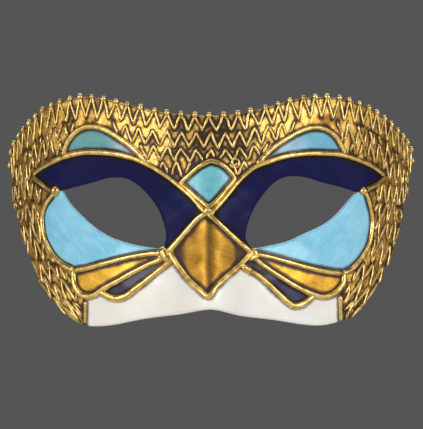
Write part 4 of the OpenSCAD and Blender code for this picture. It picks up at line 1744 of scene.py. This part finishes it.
    def zigzag(self, top: Points, foot: Points, wobble: float, stray: float = 0.06) -> tuple[Points, Points]:
        """A zigzag between two curves of the unrolled face.

        Args:
            top: the curve that its peaks touch.
            foot: the curve that its valleys touch, with a point for each of the other's.
            wobble: how far a stroke wanders sideways, in millimetres.
            stray: how far peaks and valleys miss the curves, as a share of the row's height.

        Returns:
            The path's points and its peaks.
        """
        run = run_along(top)
        share = run / run[-1]
        strokes = 2 * max(1, int(round(run[-1] / self.pitch)))
        knots = np.arange(strokes + 1) / strokes
        knots[1:-1] += self.chance.uniform(-self.uneven_pitch, self.uneven_pitch, strokes - 1) / strokes
        reach = (np.arange(strokes + 1) % 2) + self.chance.uniform(-stray, stray, strokes + 1)
        t = np.linspace(0, strokes, strokes * self.stroke_points + 1)
        low = np.minimum(t.astype(int), strokes - 1)
        part = t - low
        swing = np.cos(math.pi * part)
        eased = 0.5 - np.arcsin(self.turn_sharpness * swing) / (2 * math.asin(self.turn_sharpness))
        along = self.stroke_straight * part + self.stroke_round * (0.5 - 0.5 * swing)
        u = knots[low] + (knots[low + 1] - knots[low]) * along
        w = (reach[low] + (reach[low + 1] - reach[low]) * eased)[:, None]
        bends = np.arange(0, strokes + 1, self.bend_length)
        u += np.interp(t, bends, self.chance.normal(0, wobble, len(bends))) / run[-1]
        path = sampled(top, share, u) * (1 - w) + sampled(foot, share, u) * w
        return path, sampled(top, share, knots[::2])

    def free(self, plan: Points, below_edge_row: bool) -> np.ndarray:
        """Which points a thread may lie on.

        Args:
            plan: the points.
            below_edge_row: whether the row along the edge is kept clear too.

        Returns:
            One truth value for each point.
        """
        kept = ~inside(plan, self.cells) & (distance(plan, [self.cells]) > self.line_gap)
        front = self.face.roll(plan)
        aside = (np.abs(front[:, 0]) > self.temple_from) | (front[:, 1] < 0)
        over = np.where(aside, self.overhang[0], self.overhang[1])
        kept &= inside(plan, self.outline) | (distance(plan, [self.outline]) < over)
        if below_edge_row:
            foot = self.edge_foot[np.argsort(self.edge_foot[:, 0])]
            kept &= plan[:, 1] < np.interp(plan[:, 0], foot[:, 0], foot[:, 1]) - self.edge_row_gap
        places = self.face.place(plan, self.face.ground_t) / MM
        for eyelet in self.eyelets:
            kept &= np.linalg.norm(places - eyelet, axis=1) > self.eyelet_gap
        return kept

    def beads_of(self, plan: Points, below_edge_row: bool, thick: float) -> list[BeadPath]:
        """Cuts a zigzag into the beads that lie on the field.

        Args:
            plan: the zigzag.
            below_edge_row: whether the row along the edge is kept clear.
            thick: the beads' radius.

        Returns:
            The beads, with rounded ends.
        """
        kept = self.free(plan, below_edge_row)
        edges = np.flatnonzero(np.diff(np.concatenate([[0], kept.astype(int), [0]])))
        found = []
        for start, end in zip(edges[::2], edges[1::2]):
            if end - start < self.shortest_thread:
                continue
            part = plan[start:end]
            radius = thick * rounded_ends(run_along(part), thick, 0.05)
            found.append(BeadPath(part, np.full(len(part), self.face.ground_t + self.thread_lift), radius))
        return found

    def temple_rows(self, outer: tuple, inner: tuple, first: float) -> list[BeadPath]:
        """The threads of one temple.

        Args:
            outer: heights and places of the outer edge.
            inner: heights and places of the inner edge.
            first: height of the topmost row.

        Returns:
            The beads.
        """
        outer_at, inner_at = np.array(outer, float).T, np.array(inner, float).T
        side = math.copysign(1.0, outer[0][1])
        found = []
        for k in range(self.temple_rows_count):
            high, low = first - self.row_drop * k, first - self.row_drop * (k + 1) - self.temple_overlap
            around = np.linspace(low, high, 5)
            far = side * np.abs(np.interp(around, *outer_at)).max()
            near = side * np.abs(np.interp(around, *inner_at)).min()
            lean = np.interp((min(high, self.lean_from), min(low, self.lean_from)), *outer_at)
            shift = self.chance.uniform(0.0, 0.5 * self.pitch) * side
            across = np.linspace(far + shift, near, 60)
            drift = self.drift * np.sin(across * 0.45 + 2.1 * k)
            rows = []
            for z, x in ((high, across), (low, across + (lean[1] - lean[0]) * self.lean_share)):
                front = np.column_stack([np.clip(x, -self.furthest, self.furthest), z + drift])
                rows.append(self.face.unroll(front))
            path, _ = self.zigzag(*rows, self.temple_wobble, self.temple_stray)
            found += self.beads_of(path, True, self.temple_radius)
        return found

    def build(self) -> None:
        """Builds the threads, the drops, the scroll and the ground below them."""
        # The threads take more of the dark colour at their foot than the lines do: a brown wash with painted
        # shade.
        leaf = GoldLeaf("gold_leaf_thread", foot=0.30, shoulder=0.62).build()
        rim = self.pattern.curve(self.pattern.upper_edge)
        edge, peaks = self.zigzag(rim, self.below(rim, self.edge_foot), self.wobble)
        forehead = self.beads_of(edge, False, self.thread_radius)
        for top, foot in self.forehead_rows:
            path, _ = self.zigzag(self.pattern.curve(top), self.pattern.curve(foot), self.wobble)
            forehead += self.beads_of(path, False, self.thread_radius)
        left = self.temple_rows(self.outer_left, self.inner_left, self.temple_tops[0])
        right = self.temple_rows(self.outer_right, self.inner_right, self.temple_tops[1])
        # The temple threads take a darker copy of the gold leaf with still more dark at the foot: painted
        # shade on the temples, which turn away from the light.
        wear_and_shade = GoldLeaf("gold_leaf_temple", bright=(0.90, 0.64, 0.26), deep=(0.40, 0.24, 0.06),
                        foot=0.38, shoulder=0.78).build()
        scroll = [self._scroll()]
        threads = (("threads_forehead", forehead, leaf, self.thread_lumps, self.thread_seed),
                   ("threads_left", left, wear_and_shade, self.thread_lumps, self.thread_seed + 1),
                   ("threads_right", right, wear_and_shade, self.thread_lumps, self.thread_seed + 2),
                   ("forehead_scroll", scroll, leaf, self.scroll_lumps, self.scroll_seed))
        for name, paths, finish, lumps, seed in threads:
            piece = self.beads.build(name + "_relief", self.face, paths, finish, lumps, seed)
            declare(piece, "gilded_thread", name)
        sizes = self.drop_radius * self.chance.uniform(*self.drop_spread, len(peaks))
        piece = self.drops.build("edge_drops_relief", self.face, peaks, self.drop_lift, sizes, leaf,
                                 self.drop_unevenness)
        declare(piece, "gilded_thread", "edge_drops")
        self._ground(forehead + left + right + scroll)

    def _scroll(self) -> BeadPath:
        """The thread that curls round beside the forehead cell."""
        share = np.linspace(0, 1, self.scroll_points)
        turn = np.radians(self.scroll_turn[0] + self.scroll_turn[1] * share)
        r = self.scroll_radius[0] - self.scroll_radius[1] * share
        x, z = self.scroll_centre
        plan = self.face.unroll(np.column_stack([x + r * np.cos(turn), z + r * np.sin(turn)]))
        return BeadPath(plan, np.full(len(plan), self.face.ground_t + self.thread_lift),
                        np.full(len(plan), self.thread_radius * self.scroll_thickness))

    def _ground(self, paths: Sequence[BeadPath]) -> None:
        """Builds the gilded ground, which knows how far its points are from the threads.

        Args:
            paths: every thread.
        """
        spots = np.vstack([path.plan for path in paths])
        tree = kdtree.KDTree(len(spots))
        for i, spot in enumerate(spots):
            tree.insert((spot[0], spot[1], 0.0), i)
        tree.balance()

        def within(points: Points) -> np.ndarray:
            """Inside the outline and outside every cell."""
            return inside(points, self.outline) & ~inside(points, self.cells)

        def front(plan: Points, rim: Points) -> Points:
            """The ground, uneven as brushed gesso is."""
            wave = np.sin(plan[:, 0] * 1.1) * np.sin(plan[:, 1] * 1.3 + 0.7)
            return self.face.ground_t - self.shell.rolled(rim) + self.ground_wave * wave

        def extras(plan: Points) -> dict[str, Points]:
            """Distance from the threads and from the lines."""
            thread = np.array([tree.find((p[0], p[1], 0.0))[2] for p in plan])
            line = np.maximum(distance(plan, [self.cells]) - self.line_half_width, 0.0)
            return {"thread": np.minimum(np.minimum(thread, line), FAR)}

        sheet = Sheet(self.face, [self.outline, self.cells], within, [self.outline], self.ground_grid)
        piece = sheet.build("gilded_ground_leaf", GiltGround().build(), front,
                            lambda plan, rim: self.ground_foot - self.shell.rolled(rim), extras)
        declare(piece, "gilded_ground", "gilded_ground")


def eyelet_mounts() -> list[dict]:
    """The record's mounts for the ribbons."""
    return [mount for mount in frame["record"]["mounts"] if mount["name"].startswith("ribbon_eyelet")]


@dataclass
class RibbonEyelets:
    """The two brass eyelets, spun about their mounts' axes."""

    bore: float = 2.0
    wall: float = 0.45
    flange: float = 3.3
    roll: float = 0.42
    mouth: float = 0.5
    around: int = 72

    def profile(self, length: float) -> Points:
        """Half a section of the eyelet, as radius and height from its middle.

        Args:
            length: the eyelet's length.

        Returns:
            A closed loop of points.
        """
        half = length / 2
        turn = np.linspace(-math.pi / 2, math.pi / 2, 9)
        centre = self.flange - self.roll
        outer = [(centre + self.roll * math.cos(a), half - self.roll + self.roll * math.sin(a)) for a in turn]
        bend = np.linspace(0, math.pi / 2, 7)
        r = self.mouth
        mouth = [(self.bore + r - r * math.sin(a), half - r + r * math.cos(a)) for a in bend]
        upper = [(self.bore + self.wall, half - 2 * self.roll), *outer, *mouth]
        return np.array(upper + [(x, -z) for x, z in reversed(upper)])

    def build(self) -> None:
        """Builds both eyelets where the record's mounts are."""
        brass = PolishedBrass().build()
        angles = np.arange(self.around) * 2 * math.pi / self.around
        for mount in eyelet_mounts():
            axis = np.array(mount["axis"], float)
            axis /= np.linalg.norm(axis)
            side = np.cross(axis, (0.0, 0.0, 1.0))
            side /= np.linalg.norm(side)
            ring = np.cos(angles)[:, None] * side + np.sin(angles)[:, None] * np.cross(axis, side)
            loop = self.profile(mount["dims"]["length_mm"])
            spun = loop[None, :, :1] * ring[:, None, :] + loop[None, :, 1:] * axis
            places = (np.array(mount["pos_m"]) + spun * MM).reshape(-1, 3)
            n = len(loop)
            corners = np.arange(self.around * n).reshape(self.around, n)
            after = np.roll(corners, -1, axis=0)
            quads = (corners, np.roll(corners, -1, axis=1), np.roll(after, -1, axis=1), after)
            faces = np.stack(quads, axis=-1).reshape(-1, 4)
            piece = make_piece(mount["name"] + "_brass", places, faces, brass)
            declare(piece, "brass", mount["name"])


@dataclass(frozen=True)
class Softbox:
    """An oblong soft light that faces the mask: its place and size in metres, its power in watts."""

    name: str
    place: tuple[float, float, float]
    size: tuple[float, float]
    power: float

    def build(self) -> None:
        """Sets the light up."""
        light = bpy.data.lights.new(self.name, "AREA")
        light.shape = "RECTANGLE"
        light.size, light.size_y = self.size
        light.energy = self.power
        holder = bpy.data.objects.new(self.name, light)
        holder.location = self.place
        way = Vector((0.0, 0.02, 0.0)) - Vector(self.place)
        holder.rotation_euler = way.to_track_quat("-Z", "Y").to_euler()
        bpy.context.scene.collection.objects.link(holder)


@dataclass
class Studio:
    """Pale paper, soft boxes and the camera."""

    distance: float = 3.0
    frame_height: float = 0.18876
    centre: tuple[float, float] = (0.0002, -0.0042)
    sensor: float = 36.0
    furthest_seen: float = 50.0
    floor_z: float = -0.3
    floor_half: float = 2.5
    world_grey: float = 0.09
    lights: tuple[Softbox, ...] = (
        Softbox("softbox_left", (-0.95, -1.05, 0.42), (0.5, 0.7), 9.2),
        Softbox("softbox_right", (0.95, -1.05, 0.42), (0.5, 0.7), 9.2),
        Softbox("side_light_left", (-1.35, -0.25, 0.15), (0.5, 0.9), 2.3),
        Softbox("side_light_right", (1.35, -0.25, 0.15), (0.5, 0.9), 2.3),
        Softbox("top_light", (0.0, -0.35, 1.4), (1.2, 0.8), 4.0),
        Softbox("back_light", (0.0, 1.5, 0.8), (1.2, 0.9), 9.0))

    def build(self) -> None:
        """Builds the floor, the lights, the world and the camera."""
        half = self.floor_half
        corners = [(x * half, y * half, self.floor_z) for x, y in ((-1, -1), (1, -1), (1, 1), (-1, 1))]
        floor = make_piece("floor", np.array(corners), [(0, 1, 2, 3)], StudioPaper().build())
        for light in self.lights:
            light.build()
        world = bpy.data.worlds.new("studio")
        world.use_nodes = True
        grey = self.world_grey
        world.node_tree.nodes["Background"].inputs[0].default_value = (grey, grey, grey, 1.0)
        bpy.context.scene.world = world
        bpy.context.scene.view_settings.view_transform = "Standard"
        self._camera()

    def _camera(self) -> None:
        """Sets the camera up, straight in front of the mask."""
        camera = bpy.data.cameras.new("camera")
        camera.sensor_width = self.sensor
        camera.lens = self.sensor * self.distance / self.frame_height
        camera.clip_end = self.furthest_seen
        holder = bpy.data.objects.new("camera", camera)
        holder.location = (self.centre[0], -self.distance, self.centre[1])
        holder.rotation_euler = (math.radians(90), 0.0, 0.0)
        bpy.context.scene.collection.objects.link(holder)
        bpy.context.scene.camera = holder


def main() -> None:
    """Builds the mask and its studio."""
    logging.basicConfig(level=logging.INFO, format="%(name)s: %(message)s", stream=sys.stdout)
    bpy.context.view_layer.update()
    face = Face()
    pattern = Pattern(face)
    beads, drops = BeadTree(), DropTree()
    shell = FaceShell(face, pattern)
    shell.build()
    EnamelCells(face, pattern, shell).build()
    RaisedLines(face, pattern, beads).build()
    GiltField(face, pattern, shell, beads, drops).build()
    RibbonEyelets().build()
    Studio().build()


if __name__ == "__main__":
    main()
